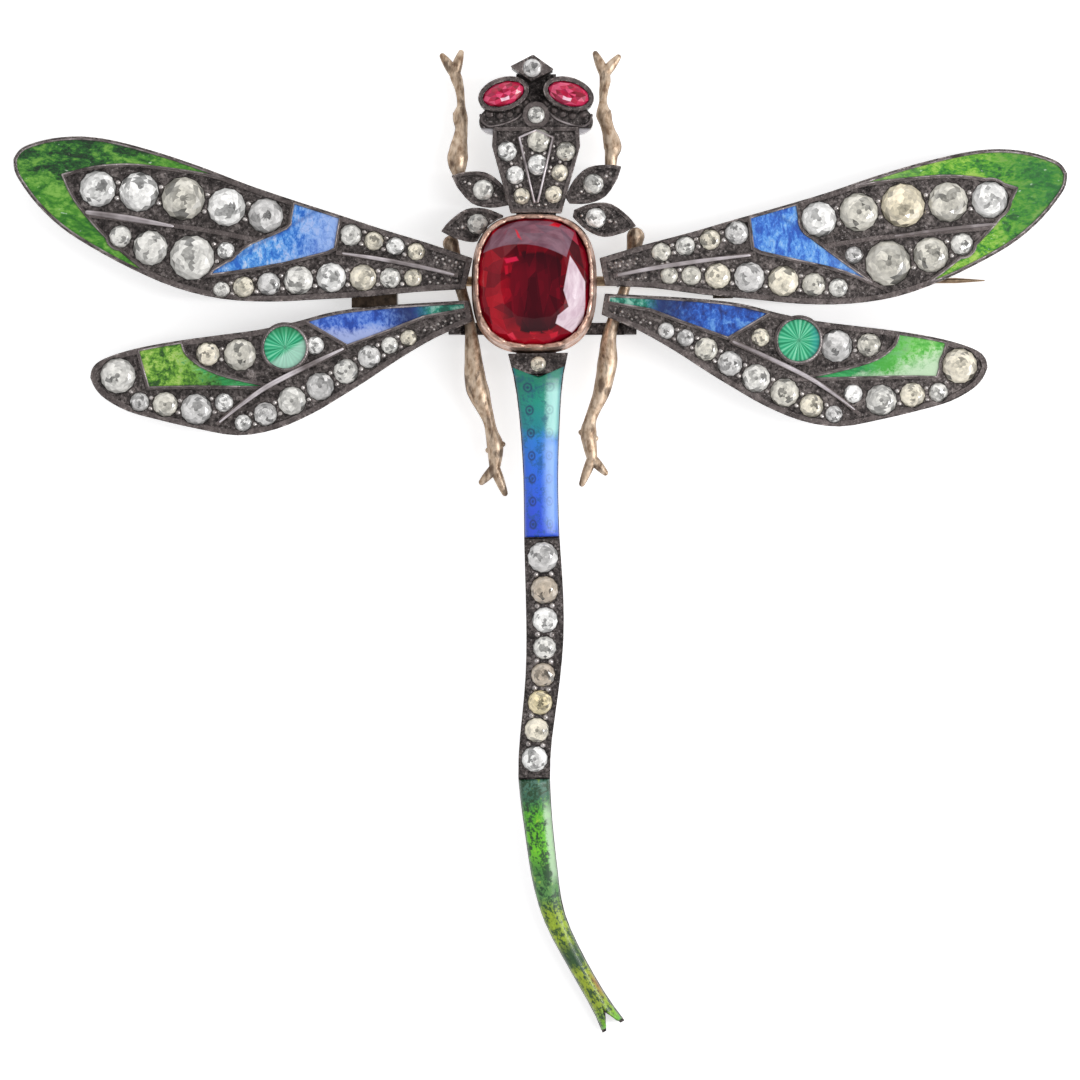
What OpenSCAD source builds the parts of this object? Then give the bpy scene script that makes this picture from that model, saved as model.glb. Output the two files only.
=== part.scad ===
// Dragonfly brooch in silver and gold, set with old-cut stones and enamel.
// Millimetres. The face looks up, the head points to +Y and the wings span X.
// Rests on its pin fittings and the tip of its tail, at z = 0 under the middle of its outline.

/* [Upper wings] */
// Length of the left upper wing, root to tip
upper_len_left = 42.1; // [36:0.1:50]
// Length of the right upper wing, root to tip
upper_len_right = 42.6; // [36:0.1:50]
// Depth of an upper wing, front edge to back edge
upper_w = 11.4; // [10:0.1:13.5]
// Rise of the left upper wing above the span, in degrees
upper_angle_left = 13.3; // [8:0.1:18]
// Rise of the right upper wing above the span, in degrees
upper_angle_right = 11.3; // [8:0.1:18]

/* [Lower wings] */
// Length of the left lower wing, root to tip
lower_len_left = 34.6; // [29:0.1:42]
// Length of the right lower wing, root to tip
lower_len_right = 34.9; // [29:0.1:42]
// Depth of a lower wing, front edge to back edge
lower_w = 9.4; // [8:0.1:11.5]
// Fall of the left lower wing below the span, in degrees
lower_angle_left = 9.9; // [6:0.1:16]
// Fall of the right lower wing below the span, in degrees
lower_angle_right = 9.3; // [6:0.1:16]
// Space between an upper and a lower wing at their roots
wing_gap = 1.1; // [0.8:0.05:1.6]
// Diameter of a round enamel disc
disc_d = 3.8; // [2.8:0.1:4]

/* [Wing build] */
// Thickness of a wing plate
wing_t = 1.6; // [1.3:0.05:2.4]
// Width of a wing's raised edge
rim_w = 0.42; // [0.25:0.01:0.6]
// Height of the raised edges above the plate
rim_h = 0.26; // [0.12:0.01:0.5]
// Width of the thin walls round each enamel field
cell_wall = 0.2; // [0.12:0.01:0.35]
// Depth of an enamel bed below the plate's face
bed_depth = 0.5; // [0.3:0.05:0.9]
// Height of the enamel above the plate's face
enamel_rise = 0.16; // [0.05:0.01:0.35]
// Width of a vein
vein_w = 0.42; // [0.25:0.01:0.7]
// Height of a vein above the plate's face
vein_h = 0.34; // [0.15:0.01:0.6]

/* [Stones] */
// Least metal between two stones of one row
stone_gap = 0.3; // [0.15:0.01:0.5]
// Height of a stone's crown, as a share of its diameter
crown_share = 0.17; // [0.1:0.01:0.25]
// Depth of a stone's back, as a share of its diameter
back_share = 0.28; // [0.2:0.01:0.3]
// Width of a stone's table, as a share of its diameter
table_share = 0.55; // [0.4:0.01:0.7]
// Width of the centre stone
centre_w = 10; // [8:0.1:12]
// Length of the centre stone
centre_l = 11.3; // [9:0.1:13.5]
// Height of the centre stone's crown
centre_crown = 1.5; // [0.8:0.05:2.2]
// Depth of the centre stone's back
centre_back = 3.9; // [2.5:0.1:4.4]

/* [Collet] */
// Thickness of the centre collet's wall
collet_wall = 0.5; // [0.35:0.05:0.9]
// Height of the centre collet
collet_h = 4.9; // [4.6:0.1:6.5]
// Number of scallops round the collet's lip
scallops = 22; // [16:1:28]
// Depth of a scallop
scallop_depth = 0.35; // [0.15:0.05:0.6]

/* [Head and neck] */
// Length of the neck plate
neck_len = 7.6; // [6:0.1:9.5]
// Width of the neck plate at the head
neck_top_w = 7.8; // [6.6:0.1:9]
// Width of the neck plate at the collet
neck_foot_w = 4.5; // [3.6:0.1:5.4]
// Thickness of the neck plate
neck_t = 1.9; // [1.5:0.1:2.6]
// Long diameter of an eye
eye_len = 3.9; // [3.2:0.1:4.6]
// Short diameter of an eye
eye_w = 2.2; // [1.8:0.1:2.7]
// Slant of an eye, in degrees
eye_slant = 17; // [5:1:30]
// Height of the head's settings
head_h = 3; // [2.4:0.1:4]
// Thickness of an eye collet's wall
eye_wall = 0.3; // [0.2:0.02:0.45]
// Diameter of a bead in the band under the eyes
bead_d = 0.8; // [0.5:0.05:1]
// Size of the lozenge collet on the crown
crown_box = 2.5; // [2:0.1:3]

/* [Leaves and legs] */
// Length of a leaf
leaf_len = 5.6; // [4.4:0.1:6.6]
// Width of a leaf
leaf_w = 2.9; // [2.5:0.1:3.6]
// Thickness of a leaf
leaf_t = 1.3; // [1:0.05:2]
// Greatest thickness of a leg
leg_t = 1.95; // [1.4:0.05:2.3]
// Length of a front leg
front_leg_len = 10.7; // [8:0.1:13]
// Length of a rear leg
rear_leg_len = 21.4; // [18:0.1:25]
// Length of a toe
toe_len = 1.75; // [1:0.05:2.4]

/* [Tail] */
// Length of the tail
tail_len = 61; // [50:0.1:72]
// Greatest width of the tail, where it meets the collet
tail_w = 5.4; // [4.6:0.1:6.2]
// Sideways reach of the tail's tip
tail_sway = 7.2; // [0:0.1:10]
// Thickness of the tail's metal
tail_t = 1.5; // [1.1:0.05:2.2]
// Height of the enamel and of the stone mount above that metal
tail_dome = 0.75; // [0.4:0.05:1.2]
// Depth of the fork in the tail's tip
fork_depth = 1.5; // [0.8:0.1:2.2]

/* [Back and pin] */
// Height of the wings, head and collet above the surface that the brooch rests on
back_h = 4; // [3.6:0.1:5.5]
// Thickness of the back frame's plate
frame_t = 0.9; // [0.7:0.05:1.2]
// Width of the frame's bars
bar_w = 1.1; // [0.8:0.1:1.6]
// Length of the pin, hinge to point
pin_len = 55.4; // [46:0.1:58]
// Diameter of the pin
pin_d = 0.9; // [0.85:0.05:1.1]
// Diameter of the pin beyond the catch
point_d = 0.5; // [0.4:0.05:0.5]
// Distance from the hinge to the catch
catch_reach = 31.5; // [28:0.1:36]
// Slant of the pin, in degrees
pin_slant = 0.1; // [0:0.05:2]
// Wall of the catch's hook
catch_wall = 0.5; // [0.35:0.05:0.7]
// Width of the hinge block along the pin
hinge_w = 4.1; // [3:0.1:5]

/* [Clearances] */
// Gap between pieces that lie against each other
fit = 0.03; // [0.02:0.01:0.06]
// Gap round the pin inside the catch
pin_play = 0.12; // [0.08:0.01:0.2]

/* [Hidden] */
left = 0;
right = 1;
SIDES = [left, right];
function turn(side) = side == left ? -1 : 1;

silver = "#6f6a69";
gold = "#c9a78c";
white_stone = "#e6e3da";
red_stone = "#b3122f";
round_fn = 48;
through = 20;

// Body: the middle of the centre stone is [0, 0], seen from the face
collet_a = centre_w / 2 + collet_wall + fit;
collet_b = centre_l / 2 + collet_wall + fit;
collet_foot = 0.12;
wing_x = collet_a + collet_foot + 0.2;
upper_root_y = 0.2 * collet_b;
plate_z = back_h;
face_z = plate_z + wing_t;

function upper_len(side) = side == left ? upper_len_left : upper_len_right;
function upper_angle(side) = side == left ? upper_angle_left : upper_angle_right;
function lower_len(side) = side == left ? lower_len_left : lower_len_right;
function lower_angle(side) = side == left ? lower_angle_left : lower_angle_right;

// Wing outlines. Columns: place along the wing, reach of the front edge, reach of the back edge,
// the first as a share of the wing's length and the others of its depth.
UPPER_OUTLINE = [
    [0, 0.085, 0.155], [0.1, 0.12, 0.265], [0.2, 0.143, 0.39], [0.3, 0.176, 0.5],
    [0.4, 0.205, 0.605], [0.5, 0.24, 0.67], [0.6, 0.29, 0.668], [0.7, 0.325, 0.605],
    [0.8, 0.337, 0.506], [0.87, 0.311, 0.41], [0.93, 0.243, 0.28], [0.975, 0.155, 0.14],
    [0.993, 0.092, 0.06], [1, 0.02, -0.02]
];
LOWER_OUTLINE = [
    [0, 0.05, 0.14], [0.1, 0.093, 0.232], [0.2, 0.133, 0.368], [0.3, 0.16, 0.53],
    [0.37, 0.16, 0.634], [0.45, 0.132, 0.745], [0.55, 0.118, 0.832], [0.65, 0.132, 0.828],
    [0.75, 0.146, 0.7], [0.85, 0.146, 0.545], [0.92, 0.125, 0.42], [0.97, 0.085, 0.275],
    [0.992, 0.025, 0.16], [1, -0.05, 0.05]
];
// The right upper wing is a little narrower behind. Columns: place along, share of the depth
RIGHT_TRIM = [[0, 0.03], [0.1, 0.045], [0.3, 0.042], [0.5, 0.026], [0.65, 0], [1, 0]];
function upper_table(side) = side == left ? UPPER_OUTLINE
    : [for (r = UPPER_OUTLINE) [r[0], r[1], r[2] - lookup(r[0], RIGHT_TRIM)]];
lower_root_y = upper_root_y - UPPER_OUTLINE[0][2] * upper_w - wing_gap - LOWER_OUTLINE[0][1] * lower_w;

// Share of the wing's length by which the blue field and the green leaf sit further out on the right
function field_shift(side) = side == left ? 0 : 0.032;
function leaf_shift(side) = side == left ? 0 : 0.02;

// The right wings sit a little further out than the left ones, and the lower one higher
right_out = 0.3;
right_low_out = 0.5;
right_lift = 0.55 * wing_gap;
function upper_x(side) = wing_x + (side == left ? 0 : right_out);
function lower_x(side) = wing_x + (side == left ? 0 : right_low_out);
function lower_y(side) = lower_root_y + (side == left ? 0 : right_lift);

// Small tools on lists and curves
function total(v, i = 0) = i < len(v) ? v[i] + total(v, i + 1) : 0;
function first_sum(v, n) = n <= 0 ? 0 : total([for (i = [0:n - 1]) v[i]]);
function reversed(v) = [for (i = [len(v) - 1:-1:0]) v[i]];
function mixed(a, b, t) = a + (b - a) * t;
function bend(p0, p1, p2, p3, t) =
    0.5 * (2 * p1 + (p2 - p0) * t + (2 * p0 - 5 * p1 + 4 * p2 - p3) * t * t
    + (3 * p1 - p0 - 3 * p2 + p3) * t * t * t);
function smooth(p, n = 3) = concat(
    [for (i = [0:len(p) - 2], k = [0:n - 1])
        bend(p[max(i - 1, 0)], p[i], p[i + 1], p[min(i + 2, len(p) - 1)], k / n)],
    [p[len(p) - 1]]);
function sized(p, l, w) = [for (q = p) [q[0] * l, q[1] * w]];
function steps(p) = [for (i = [0:len(p) - 2]) norm(p[i + 1] - p[i])];
function along(p, s, i = 0) =
    let (d = norm(p[i + 1] - p[i]))
    s <= d || i == len(p) - 2 ? mixed(p[i], p[i + 1], s / d) : along(p, s - d, i + 1);
function unit(v) = v / max(norm(v), 0.000001);
function side_of(p, i) =
    let (d = unit(p[min(i + 1, len(p) - 1)] - p[max(i - 1, 0)])) [-d[1], d[0]];

// Closed outline of a band that follows a curve and narrows from w0 to w1
function band(p, w0, w1) = concat(
    [for (i = [0:len(p) - 1]) p[i] + side_of(p, i) * mixed(w0, w1, i / (len(p) - 1)) / 2],
    [for (i = [len(p) - 1:-1:0]) p[i] - side_of(p, i) * mixed(w0, w1, i / (len(p) - 1)) / 2]);

// A row of stones along a curve: relative sizes fill the curve with at least stone_gap between
// them, no stone wider than the room. Gives the middle and the diameter of each.
function row(guide, sizes, room) =
    let (n = len(sizes))
    let (path_len = total(steps(guide)))
    let (unit_d = min((path_len - stone_gap * (n - 1)) / total(sizes), room / max(sizes)))
    let (gap = n > 1 ? (path_len - unit_d * total(sizes)) / (n - 1) : 0)
    [for (i = [0:n - 1])
        let (p = along(guide, unit_d * (first_sum(sizes, i) + sizes[i] / 2) + gap * i))
        [p[0], p[1], unit_d * sizes[i]]];

function wing_outline(table, l, w) =
    let (front = smooth([for (r = table) [r[0] * l, r[1] * w]]))
    let (back = smooth([for (r = table) [r[0] * l, -r[2] * w]]))
    concat(front, [for (i = [len(back) - 2:-1:0]) back[i]]);

// Solid through a list of rings that have the same number of points, each going
// anticlockwise when seen from the last ring
module loft(rings) {
    n = len(rings[0]);
    m = len(rings);
    points = [for (r = rings, p = r) p];
    walls = [for (i = [0:m - 2], j = [0:n - 1]) each
        let (a = i * n + j, b = i * n + (j + 1) % n)
        [[a, a + n, b + n], [a, b + n, b]]];
    start = [for (j = [0:n - 1]) j];
    finish = [for (j = [n - 1:-1:0]) (m - 1) * n + j];
    polyhedron(points, concat([start], walls, [finish]), convexity = 6);
}

// Closed hoop through a list of rings
module hoop(rings) {
    n = len(rings[0]);
    m = len(rings);
    points = [for (r = rings, p = r) p];
    walls = [for (i = [0:m - 1], j = [0:n - 1]) each
        let (next = ((i + 1) % m) * n, k = (j + 1) % n)
        [[i * n + j, next + k, next + j], [i * n + j, i * n + k, next + k]]];
    polyhedron(points, walls, convexity = 6);
}

// Stones. A brilliant has a flat table, kite facets down to the girdle and a pointed back.
// Its girdle's upper edge is at z = 0.
function stone_sides(d) = d > 2.4 ? 12 : 8;
function girdle_h(d) = 0.04 * d;
module brilliant(d) {
    n = stone_sides(d);
    table = [for (i = [0:n - 1])
        let (a = 360 * (i + 0.5) / n)
        [table_share * d / 2 * cos(a), table_share * d / 2 * sin(a), crown_share * d]];
    upper = [for (i = [0:n - 1]) [d / 2 * cos(360 * i / n), d / 2 * sin(360 * i / n), 0]];
    lower = [for (p = upper) [p[0], p[1], -girdle_h(d)]];
    points = concat([[0, 0, -back_share * d]], lower, upper, table);
    low = 1;
    up = 1 + n;
    top = 1 + 2 * n;
    faces = [for (i = [0:n - 1]) each
        let (k = (i + 1) % n)
        [[0, low + i, low + k],
         [low + i, up + i, up + k], [low + i, up + k, low + k],
         [up + i, top + i, up + k], [up + k, top + i, top + k]]];
    polyhedron(points, concat(faces, [[for (i = [n - 1:-1:0]) top + i]]), convexity = 2);
}

// The hole that a brilliant sits in: a straight wall above a cone
module seat(d) {
    r = d / 2 + fit;
    rotate_extrude($fn = round_fn)
        polygon([[0, -back_share * d - 2 * fit], [r, -girdle_h(d)], [r, through], [0, through]]);
}

module brilliants(places, z) {
    for (s = places) {
        translate([s[0], s[1], z])
            brilliant(s[2]);
    }
}

module seats(places, z) {
    for (s = places) {
        translate([s[0], s[1], z])
            seat(s[2]);
    }
}

// Placing: the whole brooch is shifted so that its outline is centred on the origin
module placed() {
    translate([shift_x, shift_y, 0])
        children();
}

module upper_place(side) {
    placed()
        mirror([side == left ? 1 : 0, 0, 0])
        translate([upper_x(side), upper_root_y, 0])
        rotate(upper_angle(side))
        children();
}

module lower_place(side) {
    placed()
        mirror([side == left ? 1 : 0, 0, 0])
        translate([lower_x(side), lower_y(side), 0])
        rotate(-lower_angle(side))
        children();
}

// Upper wing: enamel fields, as shares of the wing's length and depth
function tip_edge(side) = concat(
    smooth([[0.49, 0.25], [0.6, 0.25], [0.69, 0.222], [0.76, 0.185], [0.83, 0.105], [0.892, -0.013]]),
    smooth([[0.892, -0.013], [0.855, -0.185], [0.788, -0.375], [0.73, -0.497], [0.66, -0.628],
        [0.6, -0.75]]),
    [[0.5, -0.9], [-0.2, -0.9], [-0.2, 0.5], [0.48, 0.5]]);
function blue_field(side) = let (k = field_shift(side)) concat(
    [[0.4 + k, 0.4], [0.298 + k, 0.4], [0.289 + k, -0.085 + k / 2], [0.303 + k, -0.127 + k / 2]],
    smooth([[0.39 + k, -0.295 + 1.2 * k], [0.48 + k / 2, -0.435 + 1.6 * k],
        [0.55 + k / 3, -0.533 - k / 3]]),
    smooth([[0.55 + k / 3, -0.533 - k / 3], [0.505 + k / 3, -0.372], [0.466 + k / 4, -0.2],
        [0.4 + k, -0.017], [0.396 + k, 0.07]]));

module upper_outline(side) {
    polygon(wing_outline(upper_table(side), upper_len(side), upper_w));
}

module upper_inside(side) {
    offset(delta = -rim_w * 0.32)
        upper_outline(side);
}

module clear_of(stones) {
    difference() {
        children();
        for (s = stones) {
            translate([s[0], s[1]])
                circle(d = s[2] + 2 * cell_wall, $fn = round_fn);
        }
    }
}

module tip_field(side) {
    clear_of(upper_stones(side))
        difference() {
            upper_inside(side);
            polygon(sized(tip_edge(side), upper_len(side), upper_w));
        }
}

module blue_shape(side) {
    clear_of(upper_stones(side))
        intersection() {
            upper_inside(side);
            polygon(sized(blue_field(side), upper_len(side), upper_w));
        }
}

// Stone rows of an upper wing. Columns: guide curve, relative sizes, room across the row.
function upper_rows(side) = let (k = field_shift(side)) [
    [[[0.412 + 0.6 * k, 0.045 + k / 3], [0.55, 0.036 + k / 3], [0.65, 0.02 + k / 3], [0.745, -0.014],
        [0.851 + 0.6 * k, -0.08]], [8.1, 8.8, 10, 9.1, 8.4], 0.35],
    [[[0.497 + 0.35 * k, -0.285 + 0.6 * k], [0.525 + 0.35 * k, -0.31 + 0.6 * k],
        [0.596 + 0.35 * k, -0.43 + 0.6 * k], [0.68 + 0.35 * k, -0.412 + 0.6 * k],
        [0.766 + 0.4 * k, -0.368 + 0.6 * k]], [3.9, 10, 7.8, 5], 0.36],
    side == left
        ? [[[0.094, -0.152], [0.2, -0.243], [0.3, -0.33], [0.4, -0.462], [0.522, -0.631]],
            [6, 7, 9, 10, 9.9, 7.7, 7.1, 5.6], 0.25]
        : [[[0.117, -0.135], [0.2, -0.2], [0.3, -0.287], [0.4, -0.407], [0.5, -0.53]],
            [5.8, 6.5, 8.4, 10, 10, 7.7, 6.2], 0.25],
    [[[0.1 + k / 4, 0.04], [0.287 + k, 0.05 + k]], [7.8, 8, 8.4, 9.6], 0.19]
];
function upper_stones(side) = [for (r = upper_rows(side)) each
    row(smooth(sized(r[0], upper_len(side), upper_w)), r[1], r[2] * upper_w)];

function upper_vein(side) = smooth(sized([[0.455, -0.163], [0.57, -0.18], [0.67, -0.218], [0.82, -0.28]],
    upper_len(side), upper_w));
function upper_root_vein(side) = smooth(sized([[0.02, -0.07], [0.1, -0.068], [0.18, -0.08],
    [0.285 + field_shift(side), -0.115]], upper_len(side), upper_w));

// Metal of a wing: children are the outline, the enamel fields and the veins
module wing_metal() {
    difference() {
        union() {
            translate([0, 0, plate_z])
                linear_extrude(wing_t)
                children(0);
            translate([0, 0, face_z - fit])
                linear_extrude(rim_h + fit)
                difference() {
                    children(0);
                    offset(delta = -rim_w)
                        children(0);
                }
            translate([0, 0, face_z - fit])
                linear_extrude(rim_h + fit)
                intersection() {
                    offset(delta = cell_wall)
                        children(1);
                    children(0);
                }
            translate([0, 0, face_z - fit])
                linear_extrude(vein_h + fit)
                intersection() {
                    children(2);
                    children(0);
                }
        }
        translate([0, 0, face_z - bed_depth])
            linear_extrude(through)
            children(1);
    }
}

module enamel() {
    translate([0, 0, face_z - bed_depth + fit])
        linear_extrude(bed_depth + enamel_rise - fit)
        offset(delta = -fit)
        children();
}

module wing_upper(side) {
    color(silver)
        upper_place(side)
        difference() {
            wing_metal() {
                upper_outline(side);
                union() {
                    tip_field(side);
                    blue_shape(side);
                }
                union() {
                    polygon(band(upper_vein(side), vein_w, vein_w * 0.8));
                    polygon(band(upper_root_vein(side), vein_w, vein_w * 0.8));
                }
            }
            seats(upper_stones(side), face_z);
        }
}

module tip_enamel(side) {
    color(side == left ? "#1f6b2c" : "#2f8a35")
        upper_place(side)
        enamel()
        tip_field(side);
}

module blue_enamel(side) {
    color("#2f6fd0")
        upper_place(side)
        enamel()
        blue_shape(side);
}

module stones_upper(side) {
    color(white_stone)
        upper_place(side)
        brilliants(upper_stones(side), face_z);
}

// Lower wing: enamel fields, as shares of the wing's length and depth
root_field = [[0.425, 0.125], [0.41, 0.5], [0.01, 0.5], [0.01, -0.02], [0.12, -0.022],
    [0.21, -0.09], [0.33, -0.17]];
leaf_point = [0.535, -0.445];
function leaf_field(side) = let (k = leaf_shift(side)) concat(
    [[0.878 + k, 0.5], [0.757 + k / 2, 0.5]],
    smooth([[0.752 + k / 2, 0.1], [0.745 + k / 2, 0.005], [0.71 + k / 2, -0.135], [0.65, -0.27],
        leaf_point]),
    smooth([leaf_point, [0.67, -0.35], [0.773 + k, -0.285 + k], [0.858 + k, -0.238 + k]]));
function disc_place(side) = [side == left ? 0.49 : 0.511, -0.085];
disc_wall = 0.3;

module lower_outline(side) {
    polygon(wing_outline(LOWER_OUTLINE, lower_len(side), lower_w));
}

module lower_field(side, field) {
    clear_of(lower_stones(side))
        intersection() {
            offset(delta = -rim_w * 0.32)
                lower_outline(side);
            polygon(sized(field, lower_len(side), lower_w));
        }
}

function lower_rows(side) = [
    [[[0.648, -0.482], [0.67, -0.505], [0.745, -0.522], [0.826, -0.42], [0.912, -0.338]],
        [6, 10, 8, 6.2], 0.3],
    [[[0.885, -0.067], [0.979, -0.083]], [10], 0.34],
    [[[0.568, -0.112], [0.65, -0.045], [0.722, 0.0]], [10, 7.4], 0.31],
    [[[0.389, -0.115], [0.436, -0.115]], [10], 0.18],
    [[[0.148, -0.185], [0.235, -0.247], [0.29, -0.328], [0.355, -0.424], [0.42, -0.512], [0.5, -0.603],
        [0.573, -0.683], [0.653, -0.745]], [5.8, 6, 8.1, 8.7, 9.8, 10, 8.3, 6], 0.29]
];
function lower_stones(side) = [for (r = lower_rows(side)) each
    row(smooth(sized(r[0], lower_len(side), lower_w)), r[1], r[2] * lower_w)];
function lower_vein(side) = smooth(sized([[0.335, -0.19], [0.55, -0.42], [0.64, -0.57], [0.7, -0.7]],
    lower_len(side), lower_w));

module disc_at(side) {
    translate([disc_place(side)[0] * lower_len(side), disc_place(side)[1] * lower_w, 0])
        children();
}

module wing_lower(side) {
    color(silver)
        lower_place(side)
        difference() {
            union() {
                wing_metal() {
                    lower_outline(side);
                    union() {
                        lower_field(side, root_field);
                        lower_field(side, leaf_field(side));
                    }
                    polygon(band(lower_vein(side), vein_w * 1.1, vein_w * 0.8));
                }
                disc_at(side)
                    translate([0, 0, plate_z])
                    cylinder(d = disc_d + 2 * disc_wall, h = wing_t + vein_h, $fn = round_fn);
            }
            disc_at(side)
                translate([0, 0, face_z - bed_depth])
                cylinder(d = disc_d, h = through, $fn = round_fn);
            seats(lower_stones(side), face_z);
        }
}

module root_enamel(side) {
    color("#2a55b8")
        lower_place(side)
        enamel()
        lower_field(side, root_field);
}

module leaf_enamel(side) {
    color("#3cae3f")
        lower_place(side)
        enamel()
        lower_field(side, leaf_field(side));
}

module disc_enamel(side) {
    color("#0f9c6a")
        lower_place(side)
        disc_at(side)
        translate([0, 0, face_z - bed_depth + fit])
        cylinder(d = disc_d - 2 * fit, h = bed_depth + enamel_rise - fit, $fn = round_fn);
}

module stones_lower(side) {
    color(white_stone)
        lower_place(side)
        brilliants(lower_stones(side), face_z);
}

// Cushion outline: a squared oval with half sizes a and b
cushion_power = 2.7;
function cushion_point(a, b, t) =
    let (k = cushion_power)
    let (r = pow(pow(abs(cos(t)) / a, k) + pow(abs(sin(t)) / b, k), -1 / k))
    [r * cos(t), r * sin(t)];
function cushion(a, b, n) = [for (i = [0:n - 1]) cushion_point(a, b, 360 * i / n)];
function raised(p, z) = [for (q = p) [q[0], q[1], z]];

collet_top = plate_z + collet_h;
girdle_z = collet_top - scallop_depth - 0.1;
girdle_edge = 0.4;
centre_sides = 24;

module centre_stone() {
    a = centre_w / 2;
    b = centre_l / 2;
    sets = [[0.12, -centre_back], [pavilion_step[0], -pavilion_step[1] * centre_back],
        [1, -girdle_edge], [1, 0], [0.8, centre_crown * 0.68], [0.57, centre_crown]];
    color(red_stone)
        placed()
        loft([for (s = sets) raised(cushion(a * s[0], b * s[0], centre_sides), girdle_z + s[1])]);
}

// Collet: one section carried round the cushion outline, its lip cut down in scallops
scallop_steps = 4;
pavilion_step = [0.62, 0.55];
ledge_z = girdle_z - girdle_edge - 2 * fit
    - collet_wall * (pavilion_step[1] * centre_back) / ((1 - pavilion_step[0]) * centre_w / 2);
function lip_z(t) = collet_top - scallop_depth * abs(cos(t * scallops / 2));
foot_z = plate_z + 0.12 * collet_h;
function collet_section(t) = [
    [collet_foot + collet_wall, plate_z], [collet_foot + collet_wall, foot_z], [collet_wall, foot_z],
    [collet_wall, lip_z(t)], [0, lip_z(t)], [0, ledge_z], [-collet_wall, ledge_z], [-collet_wall, plate_z]];

module centre_collet() {
    n = scallops * scallop_steps;
    rings = [for (i = [0:n - 1])
        let (t = 360 * i / n)
        [for (s = collet_section(t))
            raised([cushion_point(centre_w / 2 + fit + s[0], centre_l / 2 + fit + s[0], t)], s[1])[0]]];
    color(gold)
        placed()
        hoop(rings);
}

// Neck plate, its shield and its stones, as shares of the plate's sizes
neck_shift = 0.17;
module neck_outline() {
    x = neck_top_w / 2;
    polygon([[-neck_foot_w / 2, 0], [neck_foot_w / 2, 0], [x, 0.78 * neck_len], [0.97 * x, neck_len],
        [-0.97 * x, neck_len], [-x, 0.78 * neck_len]]);
}

shield = [[-0.2, 0.9], [0, 0.99], [0.2, 0.9], [0.02, 0.12], [-0.02, 0.12]];
// Columns: place across, place along, diameter as a share of the neck's length
NECK_STONES = [
    [0.033, 0.85, 0.285], [0.02, 0.56, 0.25],
    [-0.335, 0.72, 0.235], [-0.24, 0.44, 0.22], [-0.165, 0.19, 0.2],
    [0.345, 0.72, 0.235], [0.275, 0.465, 0.205], [0.205, 0.21, 0.21]
];
function neck_places() = [for (s = NECK_STONES) [s[0] * neck_top_w, s[1] * neck_len,
    s[2] * min(neck_len, neck_top_w, neck_foot_w * 1.7)]];
neck_face = plate_z + neck_t;

module neck_place() {
    placed()
        translate([neck_shift, collet_b + 2 * fit + collet_foot, 0])
        children();
}

module neck() {
    color(silver)
        neck_place()
        difference() {
            union() {
                translate([0, 0, plate_z])
                    linear_extrude(neck_t)
                    neck_outline();
                translate([0, 0, neck_face - fit])
                    linear_extrude(rim_h + fit)
                    union() {
                        difference() {
                            neck_outline();
                            offset(delta = -rim_w * 0.7)
                                neck_outline();
                        }
                        difference() {
                            offset(delta = rim_w * 0.3)
                                polygon(sized(shield, neck_top_w, neck_len * 0.98));
                            offset(delta = -rim_w * 0.3)
                                polygon(sized(shield, neck_top_w, neck_len * 0.98));
                        }
                    }
            }
            seats(neck_places(), neck_face);
        }
}

module neck_stones() {
    color(white_stone)
        neck_place()
        brilliants(neck_places(), neck_face);
}

// Head: two eye collets on a collar, with a band of beads and a stone between
head_base = collet_b + 3 * fit + collet_foot + neck_len;
eye_y = head_base + eye_w / 2 + eye_wall + bead_d * 1.9;
eye_x = eye_len * cos(eye_slant) / 2 + eye_wall + 0.75;
function oval(a, b, n) = [for (i = [0:n - 1]) [a * cos(360 * i / n), b * sin(360 * i / n)]];
beads = 5;
bead_pitch = 1.08 * bead_d;
bead_fn = 10;
between_d = 1.55;
boss_d = between_d + 0.9;
between_y = head_base + between_d / 2 + 0.3;
between_z = plate_z + 0.8 * head_h;
collar_h = 0.62 * head_h;
collar_drop = 2.5 * bead_d;
lobe_drop = 0.8;
wall_a = eye_len / 2 + eye_wall + fit;
wall_b = eye_w / 2 + eye_wall + fit;

module eye_place(side) {
    placed()
        translate([neck_shift + turn(side) * eye_x, eye_y, 0])
        mirror([side == left ? 1 : 0, 0, 0])
        rotate(-eye_slant)
        children();
}

// Beads follow the lower edge of an eye's collet
module bead_band() {
    for (i = [0:beads - 1]) {
        x = (i - (beads - 1) / 2) * bead_pitch;
        y = -wall_b * sqrt(1 - x * x / (wall_a * wall_a)) - bead_d * 0.43;
        translate([x, y, plate_z + collar_h - 0.07])
            sphere(d = bead_d, $fn = bead_fn);
    }
}

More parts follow.
